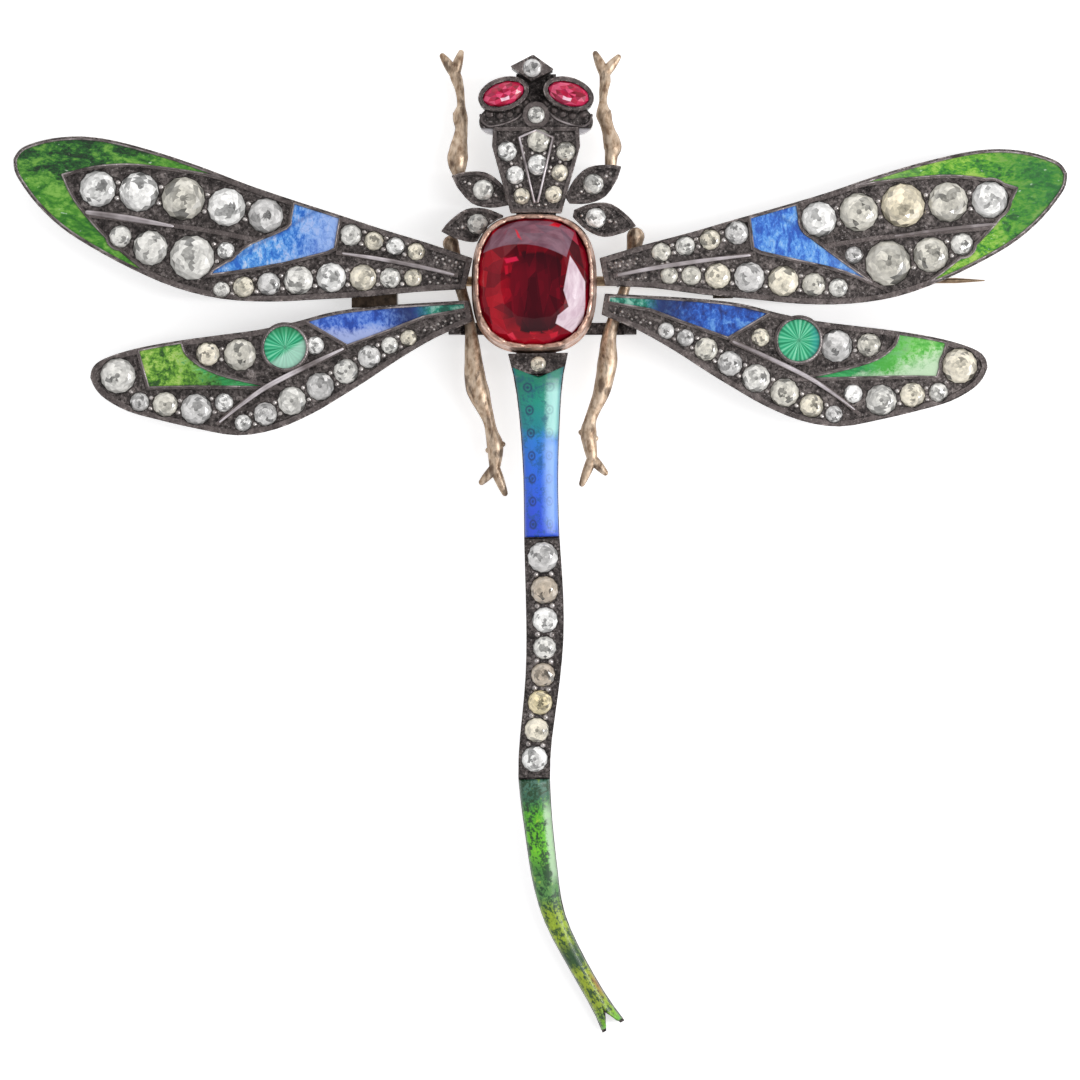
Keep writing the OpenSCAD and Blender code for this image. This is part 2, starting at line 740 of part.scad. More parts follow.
module head_setting() {
    color(silver)
        difference() {
            union() {
                for (side = SIDES) {
                    eye_place(side) {
                        translate([0, 0, plate_z])
                            linear_extrude(head_h)
                            polygon(oval(wall_a, wall_b, 28));
                        bead_band();
                    }
                    translate([0, -collar_drop, 0])
                        eye_place(side)
                        translate([0, 0, plate_z])
                        linear_extrude(collar_h)
                        polygon(oval(wall_a, wall_b, 28));
                }
                placed()
                    translate([neck_shift, between_y, plate_z])
                    cylinder(d = boss_d, h = between_z - plate_z, $fn = 12);
                placed()
                    translate([neck_shift - eye_x, head_base - bead_d, plate_z])
                    cube([2 * eye_x, 3.4 * bead_d, collar_h]);
            }
            for (side = SIDES) {
                eye_place(side)
                    translate([0, 0, plate_z + 0.4])
                    linear_extrude(through)
                    polygon(oval(eye_len / 2 + fit, eye_w / 2 + fit, 28));
            }
            placed()
                translate([neck_shift, between_y, between_z])
                seat(between_d);
            neck_place()
                translate([0, 0, plate_z - 1])
                linear_extrude(through)
                offset(delta = 2 * fit)
                neck_outline();
            placed()
                translate([-through, head_base - lobe_drop - through, -1])
                cube([2 * through, through, through]);
        }
}

module head_stone() {
    color(white_stone)
        placed()
        translate([neck_shift, between_y, between_z])
        brilliant(between_d);
}

module eye(side) {
    a = eye_len / 2;
    b = eye_w / 2;
    top = plate_z + head_h - 0.2;
    sets = [[0.5, 0.7 - head_h], [0.96, -0.5], [1, -0.1], [0.84, 0.4], [0.5, 0.75], [0.18, 0.88]];
    color(red_stone)
        eye_place(side)
        loft([for (s = sets) raised(oval(a * s[0], b * s[0], 16), top + s[1])]);
}

// Lozenge collet with its stone
crown_turn = -4;
crown_y = eye_y + eye_w / 2 + eye_wall + crown_box * 0.36;
crown_outline = [[-0.74, 0], [0, -0.45], [0.74, 0], [0, 0.45]];
module crown_place() {
    placed()
        translate([neck_shift - 0.35, crown_y, 0])
        rotate(crown_turn)
        children();
}

crown_d = 0.68 * crown_box;
crown_z = plate_z + 1.1 * head_h;
module crown_setting() {
    color(silver)
        difference() {
            crown_place()
                difference() {
                    translate([0, 0, plate_z])
                        linear_extrude(crown_z - plate_z)
                        polygon(sized(crown_outline, crown_box, crown_box));
                    translate([0, 0, crown_z])
                        seat(crown_d);
                }
            for (side = SIDES) {
                eye_place(side)
                    translate([0, 0, plate_z - 1])
                    linear_extrude(through)
                    polygon(oval(wall_a + 2 * fit, wall_b + 2 * fit, 28));
            }
            placed()
                translate([neck_shift, between_y, plate_z - 1])
                cylinder(d = boss_d + 4 * fit, h = through, $fn = round_fn);
        }
}

module crown_stone() {
    color(white_stone)
        crown_place()
        translate([0, 0, crown_z])
        brilliant(crown_d);
}

// Leaves. Columns: root as a share of the collet's half width, root above the collet's
// middle as a share of its half length, angle above the span, place of its stone along it.
LEAVES = [[0.45, 1.235, 24, 0.46], [0.56, 0.985, -11.4, 0.42]];
upper = 0;
lower = 1;
// No two leaves stand quite alike. Columns for upper and lower: moved across, moved along
// the body, turned further, stone moved along the leaf.
LEAF_FIT_LEFT = [[-0.25, -0.28, 0, 0], [-0.3, -0.3, 0, 0]];
LEAF_FIT_RIGHT = [[0.54, -0.14, 8, 0.13], [0.5, 0.17, 0, -0.38]];
function leaf_fit(side, which) = (side == left ? LEAF_FIT_LEFT : LEAF_FIT_RIGHT)[which];
function lens(l, w) = concat(
    smooth([[0, 0.1 * w], [0.25 * l, 0.4 * w], [0.55 * l, 0.5 * w], [0.85 * l, 0.24 * w], [l, 0]]),
    reversed(smooth([[0, -0.1 * w], [0.25 * l, -0.4 * w], [0.55 * l, -0.5 * w], [0.85 * l, -0.24 * w]])));

module leaf_place(side, which) {
    placed()
        mirror([side == left ? 1 : 0, 0, 0])
        translate([LEAVES[which][0] * collet_a, LEAVES[which][1] * collet_b, 0])
        translate([leaf_fit(side, which)[0], leaf_fit(side, which)[1]])
        rotate(LEAVES[which][2] + leaf_fit(side, which)[2])
        children();
}

leaf_face = plate_z + leaf_t;
function leaf_spot(side, which) =
    [[LEAVES[which][3] * leaf_len + leaf_fit(side, which)[3], 0, 0.65 * leaf_w]];
module leaf(side, which) {
    color(silver)
        difference() {
            leaf_place(side, which)
                difference() {
                    union() {
                        translate([0, 0, plate_z])
                            linear_extrude(leaf_t)
                            polygon(lens(leaf_len, leaf_w));
                        translate([0, 0, leaf_face - fit])
                            linear_extrude(rim_h + fit)
                            difference() {
                                polygon(lens(leaf_len, leaf_w));
                                offset(delta = -rim_w * 0.6)
                                    polygon(lens(leaf_len, leaf_w));
                            }
                    }
                    seats(leaf_spot(side, which), leaf_face);
                }
            placed()
                translate([0, 0, plate_z - 1])
                linear_extrude(through)
                polygon(cushion(collet_a + 0.2, collet_b + 0.2, 48));
            neck_place()
                translate([0, 0, plate_z - 1])
                linear_extrude(through)
                offset(delta = 2 * fit)
                neck_outline();
            if (which == lower) {
                leaf_place(side, upper)
                    translate([0, 0, plate_z - 1])
                    linear_extrude(through)
                    offset(delta = 2 * fit)
                    polygon(lens(leaf_len, leaf_w));
            }
        }
}

module leaf_stones() {
    color(white_stone)
        for (side = SIDES, which = [upper, lower]) {
            leaf_place(side, which)
                brilliants(leaf_spot(side, which), leaf_face);
        }
}

foot_share = 0.87;
toe_tip = 0.13;
inner_toe = 112;

// Legs. Columns: place along the leg, sideways place, thickness, as shares of the leg's
// length (the first two) and of leg_t. The last row is where the toes part.
FRONT_LEGS = [
    [[0, 0, 0.55], [0.12, 0.01, 0.95], [0.25, -0.002, 0.8], [0.39, -0.022, 0.58], [0.5, -0.012, 0.7],
        [0.6, -0.02, 0.38], [0.72, -0.008, 0.42], [0.8, 0.012, 0.52], [foot_share, 0.036, 0.52]],
    [[0, 0.005, 0.5], [0.15, 0.012, 0.6], [0.25, 0.024, 0.82], [0.41, -0.02, 0.6], [0.52, -0.05, 0.7],
        [0.62, -0.056, 0.38], [0.72, -0.05, 0.42], [0.8, -0.038, 0.52], [foot_share, -0.042, 0.52]]
];
REAR_LEGS = [
    [[0, 0.078, 0.75], [0.18, 0.038, 0.55], [0.28, 0.01, 0.5], [0.38, -0.008, 0.58], [0.57, -0.025, 1],
        [0.645, -0.045, 0.96], [0.74, -0.08, 0.58], [0.8, -0.095, 0.6], [0.86, -0.11, 0.76],
        [0.95, -0.108, 0.5]],
    [[-0.03, 0.154, 0.85], [0.06, 0.14, 0.58], [0.2, 0.105, 0.5], [0.38, 0.045, 0.66], [0.5, 0.035, 0.9],
        [0.62, 0.012, 0.8], [0.7, -0.02, 0.58], [0.75, -0.038, 0.58], [0.81, -0.045, 0.76],
        [0.91, -0.03, 0.48]]
];
front_knee = 4;
rear_knee = 8;
front_leg_y = collet_b + 3.7;
front_leg_x = collet_a + 1.3;
rear_leg_x = collet_a + 0.35;
rear_leg_y = 0.6 * collet_b;
leg_drop = 1.4;
leg_fn = 8;

function leg_z(t) = plate_z - 2 * fit - leg_t * 0.32 - leg_drop * t * t;
function leg_points(table, l, way) = [for (r = table)
    [r[1] * l, way * r[0] * l, leg_z(way > 0 ? r[0] : 0), r[2] * leg_t / 2]];

module leg_stretch(a, b) {
    hull() {
        translate([a[0], a[1], a[2]])
            sphere(r = a[3], $fn = leg_fn);
        translate([b[0], b[1], b[2]])
            sphere(r = b[3], $fn = leg_fn);
    }
}

module toe(p, angle, size) {
    tip = [p[0] + toe_len * size * cos(angle), p[1] + toe_len * size * sin(angle), p[2], toe_tip * leg_t];
    leg_stretch(p, tip);
}

// A leg with two spurs at its knee and a forked foot; way is 1 up and -1 down the brooch
module leg(table, l, way, knee) {
    p = leg_points(table, l, way);
    foot = p[len(p) - 1];
    thin = [p[knee][0], p[knee][1], p[knee][2], p[knee][3] * 0.6];
    spur = way > 0 ? 0.38 : 0.54;
    for (i = [0:len(p) - 2]) {
        leg_stretch(p[i], p[i + 1]);
    }
    toe(thin, way * 26, spur);
    toe(thin, way * 200, spur);
    toe(foot, way * 47, 1);
    toe(foot, way * inner_toe, way > 0 ? 1 : 1.4);
}

module leg_front(side) {
    color(gold)
        placed()
        translate([turn(side) * front_leg_x, front_leg_y, 0])
        mirror([side == left ? 1 : 0, 0, 0])
        leg(FRONT_LEGS[side], front_leg_len, 1, front_knee);
}

module leg_rear(side) {
    color(gold)
        placed()
        translate([turn(side) * rear_leg_x, rear_leg_y, 0])
        mirror([side == left ? 1 : 0, 0, 0])
        leg(REAR_LEGS[side], rear_leg_len, -1, rear_knee);
}

// Tail. Columns: place along the tail, sideways place, width, as shares of tail_len,
// tail_sway and tail_w.
TAIL = [
    [0, 0.048, 1], [0.04, 0.055, 0.8], [0.1, 0.07, 0.665], [0.18, 0.082, 0.58], [0.27, 0.095, 0.59],
    [0.35, 0.128, 0.628], [0.42, 0.135, 0.62], [0.49, 0.1, 0.57], [0.57, 0.02, 0.535], [0.63, 0, 0.53],
    [0.7, 0.055, 0.48], [0.77, 0.13, 0.45], [0.83, 0.235, 0.375], [0.89, 0.47, 0.32], [0.945, 0.73, 0.31],
    [0.975, 0.88, 0.34], [1, 1, 0.42]
];
root_end = 0.03;
blue_end = 0.272;
green_start = 0.628;
tail_curve = smooth(TAIL, 2);
function tail_row(t) = tail_at(tail_curve, t, 0);
function tail_at(c, t, i) = t <= c[i + 1][0] || i == len(c) - 2
    ? mixed(c[i], c[i + 1], (t - c[i][0]) / (c[i + 1][0] - c[i][0])) : tail_at(c, t, i + 1);
function tail_floor(t) = plate_z * (1 - t * t);
tail_y = -collet_b - fit - collet_foot;
function tail_spot(t) = let (r = tail_row(t)) [r[1] * tail_sway, tail_y - t * tail_len];
function tail_across(t) =
    let (d = unit(tail_spot(min(t + 0.01, 1)) - tail_spot(max(t - 0.01, 0)))) [-d[1], d[0]];
function tail_width(t) = tail_row(t)[2] * tail_w;

// Points of a section: places across as shares of the half width, heights above the tail's underside
function tail_ring(t, section) =
    let (c = tail_spot(t), n = tail_across(t), w = tail_width(t) / 2, z = tail_floor(t))
    [for (s = section) [c[0] + n[0] * s[0] * w, c[1] + n[1] * s[0] * w, z + s[1]]];
function metal_section(h) = [[0.8, 0], [1, 0.35 * tail_t], [1, h], [-1, h], [-1, 0.35 * tail_t], [-0.8, 0]];
dome_share = 0.9;
dome_section = concat([[dome_share, tail_t + fit]],
    [for (a = [20:20:160]) [dome_share * cos(a), tail_t + fit + tail_dome * pow(sin(a), 0.8)]],
    [[-dome_share, tail_t + fit]]);
function spread(a, b, n) = [for (i = [0:n]) mixed(a, b, i / n)];
step = 0.0015;

span_left = upper_x(left) + upper_len_left * cos(upper_angle_left);
span_right = upper_x(right) + upper_len_right * cos(upper_angle_right);
reach_up = front_leg_y + foot_share * front_leg_len + toe_len * sin(inner_toe) + toe_tip * leg_t;
reach_down = -tail_spot(1)[1] + abs(tail_across(1)[1]) * tail_width(1) / 2;
shift_x = (span_left - span_right) / 2;
shift_y = (reach_down - reach_up) / 2;

module fork() {
    tip = tail_spot(1);
    ahead = unit(tip - tail_spot(0.98));
    across = tail_across(1);
    placed()
        translate([0, 0, -1])
        linear_extrude(through)
        polygon([tip - ahead * fork_depth, tip + ahead + across * tail_width(1) * 0.55,
            tip + ahead * 3, tip + ahead - across * tail_width(1) * 0.55]);
}

// Stones of the tail: a row on the mount and one at the root
function tail_line(a, b) = [for (t = spread(a, b, 12)) tail_spot(t)];
function tail_places() = concat(
    row(tail_line(blue_end + 0.006, green_start - 0.01), [10, 9.1, 8.3, 7.6, 7.9, 8, 8.1, 8.5],
        0.88 * tail_width(0.45)));
root_stone_t = 0.016;
module tail_holes() {
    for (s = tail_places()) {
        translate([s[0], s[1], tail_top_at(s)])
            seat(s[2]);
    }
}

function tail_top_at(s) = tail_floor((tail_y - s[1]) / tail_len) + tail_t + tail_dome;
function root_stone() = let (c = tail_spot(root_stone_t)) [c[0], c[1], 0.26 * tail_w];

module tail() {
    high = tail_t + tail_dome;
    color(silver)
        difference() {
            placed()
                difference() {
                    loft(concat(
                        [for (t = [0, root_end]) tail_ring(t, metal_section(high))],
                        [for (t = spread(root_end + step, blue_end, 8))
                            tail_ring(t, metal_section(tail_t))],
                        [for (t = spread(blue_end + step, green_start - step, 12))
                            tail_ring(t, metal_section(high))],
                        [for (t = spread(green_start, 1, 16)) tail_ring(t, metal_section(tail_t))]));
                    tail_holes();
                    translate([root_stone()[0], root_stone()[1], tail_top_at(root_stone())])
                        seat(root_stone()[2]);
                }
            fork();
        }
}

module tail_stones() {
    color(white_stone)
        placed()
        for (s = concat(tail_places(), [root_stone()])) {
            translate([s[0], s[1], tail_top_at(s)])
                brilliant(s[2]);
        }
}

module tail_enamel_blue() {
    color("#2c62b5")
        placed()
        loft([for (t = spread(root_end + 2 * step, blue_end - step, 8)) tail_ring(t, dome_section)]);
}

module tail_enamel_green() {
    color("#6bb52a")
        difference() {
            placed()
                loft([for (t = spread(green_start + step, 0.995, 16)) tail_ring(t, dome_section)]);
            fork();
        }
}

// Back frame: a spine behind head, collet and tail, bars behind the wings and a cross bar
// under the legs, whose ends turn up to the lower wings
frame_top = plate_z - fit;
spine_w = 3.6;
spine_x0 = neck_shift - spine_w / 2;
spine_x1 = neck_shift + spine_w / 2;
cross_y = lower_root_y - 0.2 * lower_w;
cross_y0 = cross_y - bar_w / 2;
cross_t = 0.8 * frame_t;
cross_left = -wing_x - 1.9;
cross_right = wing_x + 3.4;
cross_z = frame_top - 2.1;

module bar(x0, y0, x1, y1, z0, z1) {
    translate([x0, y0, z0])
        cube([x1 - x0, y1 - y0, z1 - z0]);
}

module back_frame() {
    low = frame_top - frame_t;
    color(silver)
        placed()
        union() {
            bar(spine_x0, -collet_b - 1.8, spine_x1, crown_y - 0.1 * crown_box, low, frame_top);
            bar(-eye_x - 1, eye_y - 0.5, eye_x + 1, eye_y + 0.5, low, frame_top);
            bar(-wing_x + 1, -collet_b * 0.5, wing_x - 1, collet_b * 0.5, low, frame_top);
            bar(spine_x0 + fit, cross_y0, spine_x1 - fit, cross_y0 + bar_w, cross_z, frame_top);
            bar(cross_left, cross_y0, cross_right, cross_y0 + bar_w, cross_z, cross_z + cross_t);
            bar(cross_left, cross_y0, cross_left + bar_w, cross_y + bar_w, cross_z, frame_top);
            bar(cross_right - bar_w, cross_y0, cross_right, cross_y + bar_w, cross_z, frame_top);
        }
}

// Pin. Its axis starts in the hinge block and runs under the wings to the right.
pin_z = pin_d / 2 + pin_play + catch_wall;
pin_tip_d = 0.12;
pin_taper = 2.6;
catch_l = 2;
catch_foot_l = 1.8;
catch_foot_w = 3.4;
catch_foot_t = 0.6;
point_start = catch_reach + 0.7 * catch_l;
hinge_x = -wing_x - 8.6;
hinge_y = upper_root_y - 0.076 * upper_w;
hinge_l = 5;

module pin_place() {
    placed()
        translate([hinge_x, hinge_y, pin_z])
        rotate(pin_slant)
        children();
}

module pin_stem() {
    color(gold)
        pin_place()
        rotate([0, 90, 0])
        union() {
            cylinder(d = pin_d, h = point_start, $fn = round_fn);
            translate([0, 0, point_start])
                cylinder(d = point_d, h = pin_len - point_start - pin_taper, $fn = round_fn);
            translate([0, 0, pin_len - pin_taper])
                cylinder(d1 = point_d, d2 = pin_tip_d, h = pin_taper, $fn = round_fn);
        }
}

module hinge_block() {
    color(gold)
        pin_place()
        difference() {
            translate([-hinge_w / 2, -hinge_l / 2, -pin_z])
                cube([hinge_w, hinge_l, frame_top]);
            translate([-fit, 0, 0])
                rotate([0, 90, 0])
                cylinder(d = pin_d + 2 * fit, h = hinge_w, $fn = round_fn);
        }
}

module catch() {
    inner = pin_d / 2 + pin_play;
    outer = inner + catch_wall;
    color(gold)
        pin_place()
        translate([catch_reach, 0, 0])
        difference() {
            union() {
                translate([-catch_l / 2, 0, 0])
                    rotate([0, 90, 0])
                    cylinder(r = outer, h = catch_l, $fn = round_fn);
                translate([-catch_l / 2, -outer, 0])
                    cube([catch_l, outer - inner, frame_top - pin_z]);
                translate([-catch_foot_l / 2, -catch_foot_w / 2, frame_top - pin_z - catch_foot_t])
                    cube([catch_foot_l, catch_foot_w, catch_foot_t]);
            }
            translate([-catch_l, 0, 0])
                rotate([0, 90, 0])
                cylinder(r = inner, h = 2 * catch_l, $fn = round_fn);
            translate([-catch_l, 0, 0])
                cube([2 * catch_l, outer + 1, inner]);
        }
}

wing_upper(left);  // wing_upper_left
wing_upper(right);  // wing_upper_right
wing_lower(left);  // wing_lower_left
wing_lower(right);  // wing_lower_right
tip_enamel(left);  // tip_enamel_left
tip_enamel(right);  // tip_enamel_right
blue_enamel(left);  // blue_enamel_left
blue_enamel(right);  // blue_enamel_right
root_enamel(left);  // root_enamel_left
root_enamel(right);  // root_enamel_right
leaf_enamel(left);  // leaf_enamel_left
leaf_enamel(right);  // leaf_enamel_right
disc_enamel(left);  // disc_enamel_left
disc_enamel(right);  // disc_enamel_right
stones_upper(left);  // stones_upper_left
stones_upper(right);  // stones_upper_right
stones_lower(left);  // stones_lower_left
stones_lower(right);  // stones_lower_right
centre_collet();
centre_stone();
head_setting();
eye(left);  // eye_left
eye(right);  // eye_right
head_stone();
crown_setting();
crown_stone();
neck();
neck_stones();
leaf(left, upper);  // leaf_upper_left
leaf(right, upper);  // leaf_upper_right
leaf(left, lower);  // leaf_lower_left
leaf(right, lower);  // leaf_lower_right
leaf_stones();
leg_front(left);  // leg_front_left
leg_front(right);  // leg_front_right
leg_rear(left);  // leg_rear_left
leg_rear(right);  // leg_rear_right
tail();
tail_stones();
tail_enamel_blue();
tail_enamel_green();
back_frame();
hinge_block();
catch();
pin_stem();
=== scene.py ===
import math

import bpy
import numpy as np
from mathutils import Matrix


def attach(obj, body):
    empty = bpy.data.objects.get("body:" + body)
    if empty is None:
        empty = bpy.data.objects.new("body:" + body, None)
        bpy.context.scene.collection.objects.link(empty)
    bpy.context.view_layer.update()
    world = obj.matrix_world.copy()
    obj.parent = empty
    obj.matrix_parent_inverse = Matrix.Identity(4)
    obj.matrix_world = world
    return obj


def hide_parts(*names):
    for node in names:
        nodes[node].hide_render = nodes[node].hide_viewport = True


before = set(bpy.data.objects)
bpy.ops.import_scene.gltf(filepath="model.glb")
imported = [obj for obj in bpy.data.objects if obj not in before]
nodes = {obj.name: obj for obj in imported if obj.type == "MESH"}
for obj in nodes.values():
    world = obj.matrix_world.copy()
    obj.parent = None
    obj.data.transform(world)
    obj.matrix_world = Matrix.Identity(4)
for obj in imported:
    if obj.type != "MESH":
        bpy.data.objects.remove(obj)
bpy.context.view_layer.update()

# Looks of a dragonfly brooch: dark silver, pale gold, old-cut stones, a red cushion stone and enamel.
# All shapes are worked out in millimetres in the part's own frame, and go into the meshes in metres.
MM = 0.001

# Sizes that follow the part's solids, in millimetres and degrees. BODY is the centre stone's middle, PLATE
# the plates' underside, FACE the wings' upper side
BODY = np.array([-0.5517, 23.4104])
PLATE = 4.0
FACE = 5.6
COLLET_HALF = (5.03, 5.68)
STONE_HALF = (5.0, 5.65)
SQUARED = 2.7
COLLET_WALL = 0.5
COLLET_TOP = 8.9
GIRDLE = 8.45
LEDGE = 7.43
SCALLOPS = 22
LEG_T, TOE = 1.95, 1.75
FRONT_LEG, REAR_LEG = (10.7, 6.83, 9.88), (21.4, 5.88, 3.708)
TAIL_L, TAIL_W, TAIL_SWAY, TAIL_T, TAIL_DOME = 61.0, 5.4, 7.2, 1.5, 0.75
TAIL_Y = -6.33
FORK = 1.5
HEAD_X = 0.17
NECK_FOOT = 6.36
EYE_AT, EYE_HALF, EYE_SLANT = (2.915, 16.91, 6.85), (1.95, 1.1), -17
DISC_R, DISC_WALL = 1.9, 2.0
# Heights that carry wires or grains: collar and shield on the neck plate, the neck plate, the leaves
COLLAR_TOP, SHIELD_TOP, NECK_TOP, LEAF_TOP = 5.97, 6.17, 5.9, 5.3
# Wings. Columns: root across, root along, slant, length, depth, side (-1 is the left of the face)
WINGS = {
    "upper_left": (-5.85, 1.236, 13.3, 42.1, 11.4, -1),
    "upper_right": (6.15, 1.236, 11.3, 42.6, 11.4, 1),
    "lower_left": (-5.85, -2.101, -9.9, 34.6, 9.4, -1),
    "lower_right": (6.35, -1.496, -9.3, 34.9, 9.4, 1),
}
SIDES = {-1: "left", 1: "right"}
# Steps of a smooth curve between two rows of its table
STEPS = 8


def rotated(x, y, angle):
    """A place turned about the origin: x cos - y sin across, x sin + y cos along."""
    return x * np.cos(angle) - y * np.sin(angle), x * np.sin(angle) + y * np.cos(angle)


def rows_of(*columns):
    """Rows out of columns, where a single number stands for a whole column."""
    return np.stack(np.broadcast_arrays(*columns), -1)


def wing_point(wing, u, v):
    """Row place of shares u along and v across a wing: the share times the wing's length and depth,
    turned by its slant, mirrored on the left, and moved to its root."""
    x0, y0, slant, length, depth, side = WINGS[wing]
    x, y = rotated(np.asarray(u) * length, np.asarray(v) * depth, math.radians(slant))
    return rows_of(BODY[0] + x0 + side * x, BODY[1] + y0 + y)


# Curves and meshes
def smooth(rows, n):
    """Curve through the rows: each stretch is the cubic whose slope at a row is half the way between
    its two neighbours, with n steps to a stretch."""
    p = np.asarray(rows, float)
    q = np.concatenate([p[:1], p, p[-1:]])
    t = (np.arange(n) / n)[None, :, None]
    a, b, c, d = (q[i:len(q) - 3 + i][:, None, :] for i in range(4))
    s = 0.5 * (2 * b + (c - a) * t + (2 * a - 5 * b + 4 * c - d) * t * t + (3 * b - a - 3 * c + d) * t ** 3)
    return np.concatenate([s.reshape(-1, p.shape[1]), p[-1:]])


def sheet_faces(rows, cols, wrap_rows=False, wrap_cols=False):
    """Four-sided faces of a grid of points, rows by cols, joined round where a way wraps."""
    i = np.arange(rows if wrap_rows else rows - 1)[:, None]
    j = np.arange(cols if wrap_cols else cols - 1)[None, :]
    a, b = i * cols + j, i * cols + (j + 1) % cols
    k = (i + 1) % rows
    c, d = k * cols + (j + 1) % cols, k * cols + j
    return np.stack([a, b, c, d], -1).reshape(-1, 4)


def rod_faces(rows, sides):
    """Faces of a closed rod: rings joined in turn, the first closed by the point after the last ring, and
    the last by the point after that."""
    j = np.arange(sides)
    k = (j + 1) % sides
    end, first, last = (rows - 1) * sides, np.full(sides, rows * sides), np.full(sides, rows * sides + 1)
    caps = [np.stack([first, k, j], -1), np.stack([last, end + j, end + k], -1)]
    return [sheet_faces(rows, sides, wrap_cols=True), np.concatenate(caps)]


def repeated(faces, n, size):
    """Faces of n like pieces, whose points follow each other with size points to a piece."""
    step = (np.arange(n) * size)[:, None, None]
    return [(f[None] + step).reshape(-1, f.shape[1]) for f in faces]


def joined(parts):
    """One list of points and faces out of several, each part's faces counted on from the one before."""
    starts = np.cumsum([0] + [len(points) for points, _ in parts[:-1]])
    faces = zip(*([f + start for f in lists] for (_, lists), start in zip(parts, starts)))
    return np.concatenate([points for points, _ in parts]), [np.concatenate(f) for f in faces]


def linked(name, data, place):
    """A new object of the scene at a place in metres."""
    thing = bpy.data.objects.new(name, data)
    bpy.context.scene.collection.objects.link(thing)
    thing.location = place
    return thing


def put(name, points, faces, finish, slot, stands_for=(), rounded=False, colours=None, places=None):
    """Makes a piece from points in millimetres and lists of faces, one list for each number of corners.
    The volume inside is the sum of the tetrahedra from the origin to each fan of a face, a sixth of
    a . (b x c); where it comes out below zero every face is turned round, so that all look outwards."""
    volume = sum(np.einsum("ij,ij->", points[f[:, 0]], np.cross(points[f[:, i]], points[f[:, i + 1]])) / 6
                 for f in faces for i in range(1, f.shape[1] - 1))
    if volume < 0:
        faces = [f[:, ::-1] for f in faces]
    mesh = bpy.data.meshes.new(name)
    corners = np.concatenate([f.ravel() for f in faces]).astype(np.int32)
    sizes = np.concatenate([np.full(len(f), f.shape[1]) for f in faces]).astype(np.int32)
    mesh.vertices.add(len(points))
    mesh.vertices.foreach_set("co", (points * MM).astype(np.float32).ravel())
    mesh.loops.add(len(corners))
    mesh.loops.foreach_set("vertex_index", corners)
    mesh.polygons.add(len(sizes))
    mesh.polygons.foreach_set("loop_start", np.concatenate([[0], np.cumsum(sizes)[:-1]]).astype(np.int32))
    mesh.polygons.foreach_set("loop_total", sizes)
    mesh.polygons.foreach_set("use_smooth", np.full(len(sizes), rounded))
    if colours is not None:
        layer = mesh.color_attributes.new("facet", "FLOAT_COLOR", "CORNER")
        flat = np.repeat(np.concatenate([colours, np.ones((len(colours), 1))], 1), sizes, 0)
        layer.data.foreach_set("color", flat.astype(np.float32).ravel())
    if places is not None:
        uv = mesh.uv_layers.new(name="place")
        uv.data.foreach_set("uv", places[corners].astype(np.float32).ravel())
    mesh.update(calc_edges=True)
    mesh.validate()
    piece = linked(name, mesh, (0, 0, 0))
    mesh.materials.append(finish)
    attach(piece, "root")
    if stands_for:
        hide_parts(*stands_for)


# Finishes
def srgb(r, g, b, share=1.0):
    """Linear colour of a tone given in the usual 0 to 255 steps, or a share of it."""
    v = np.array([r, g, b]) / 255
    return tuple(float(x) * share for x in np.where(v <= 0.04045, v / 12.92, ((v + 0.055) / 1.055) ** 2.4))


def paint(value):
    """Shader colour of a tone of three steps, or of a grey from 0 to 1. Other values stay as they are."""
    if isinstance(value, tuple):
        return (*srgb(*value), 1)
    return (value, value, value, 1) if isinstance(value, float) else value


class Value:
    """A number worked out over a surface. Sums of such numbers make nodes in their finish."""

    def __init__(self, finish, socket):
        self.finish, self.socket = finish, socket

    def __add__(self, other):
        return self.finish.work("ADD", self, other)

    def __mul__(self, other):
        return self.finish.work("MULTIPLY", self, other)

    def __sub__(self, other):
        return self.finish.work("SUBTRACT", self, other)

    def __rsub__(self, other):
        return self.finish.work("SUBTRACT", other, self)

    def __truediv__(self, other):
        return self.finish.work("DIVIDE", self, other)

    def __pow__(self, other):
        return self.finish.work("POWER", self, other)

    def __abs__(self):
        return self.finish.work("ABSOLUTE", self)


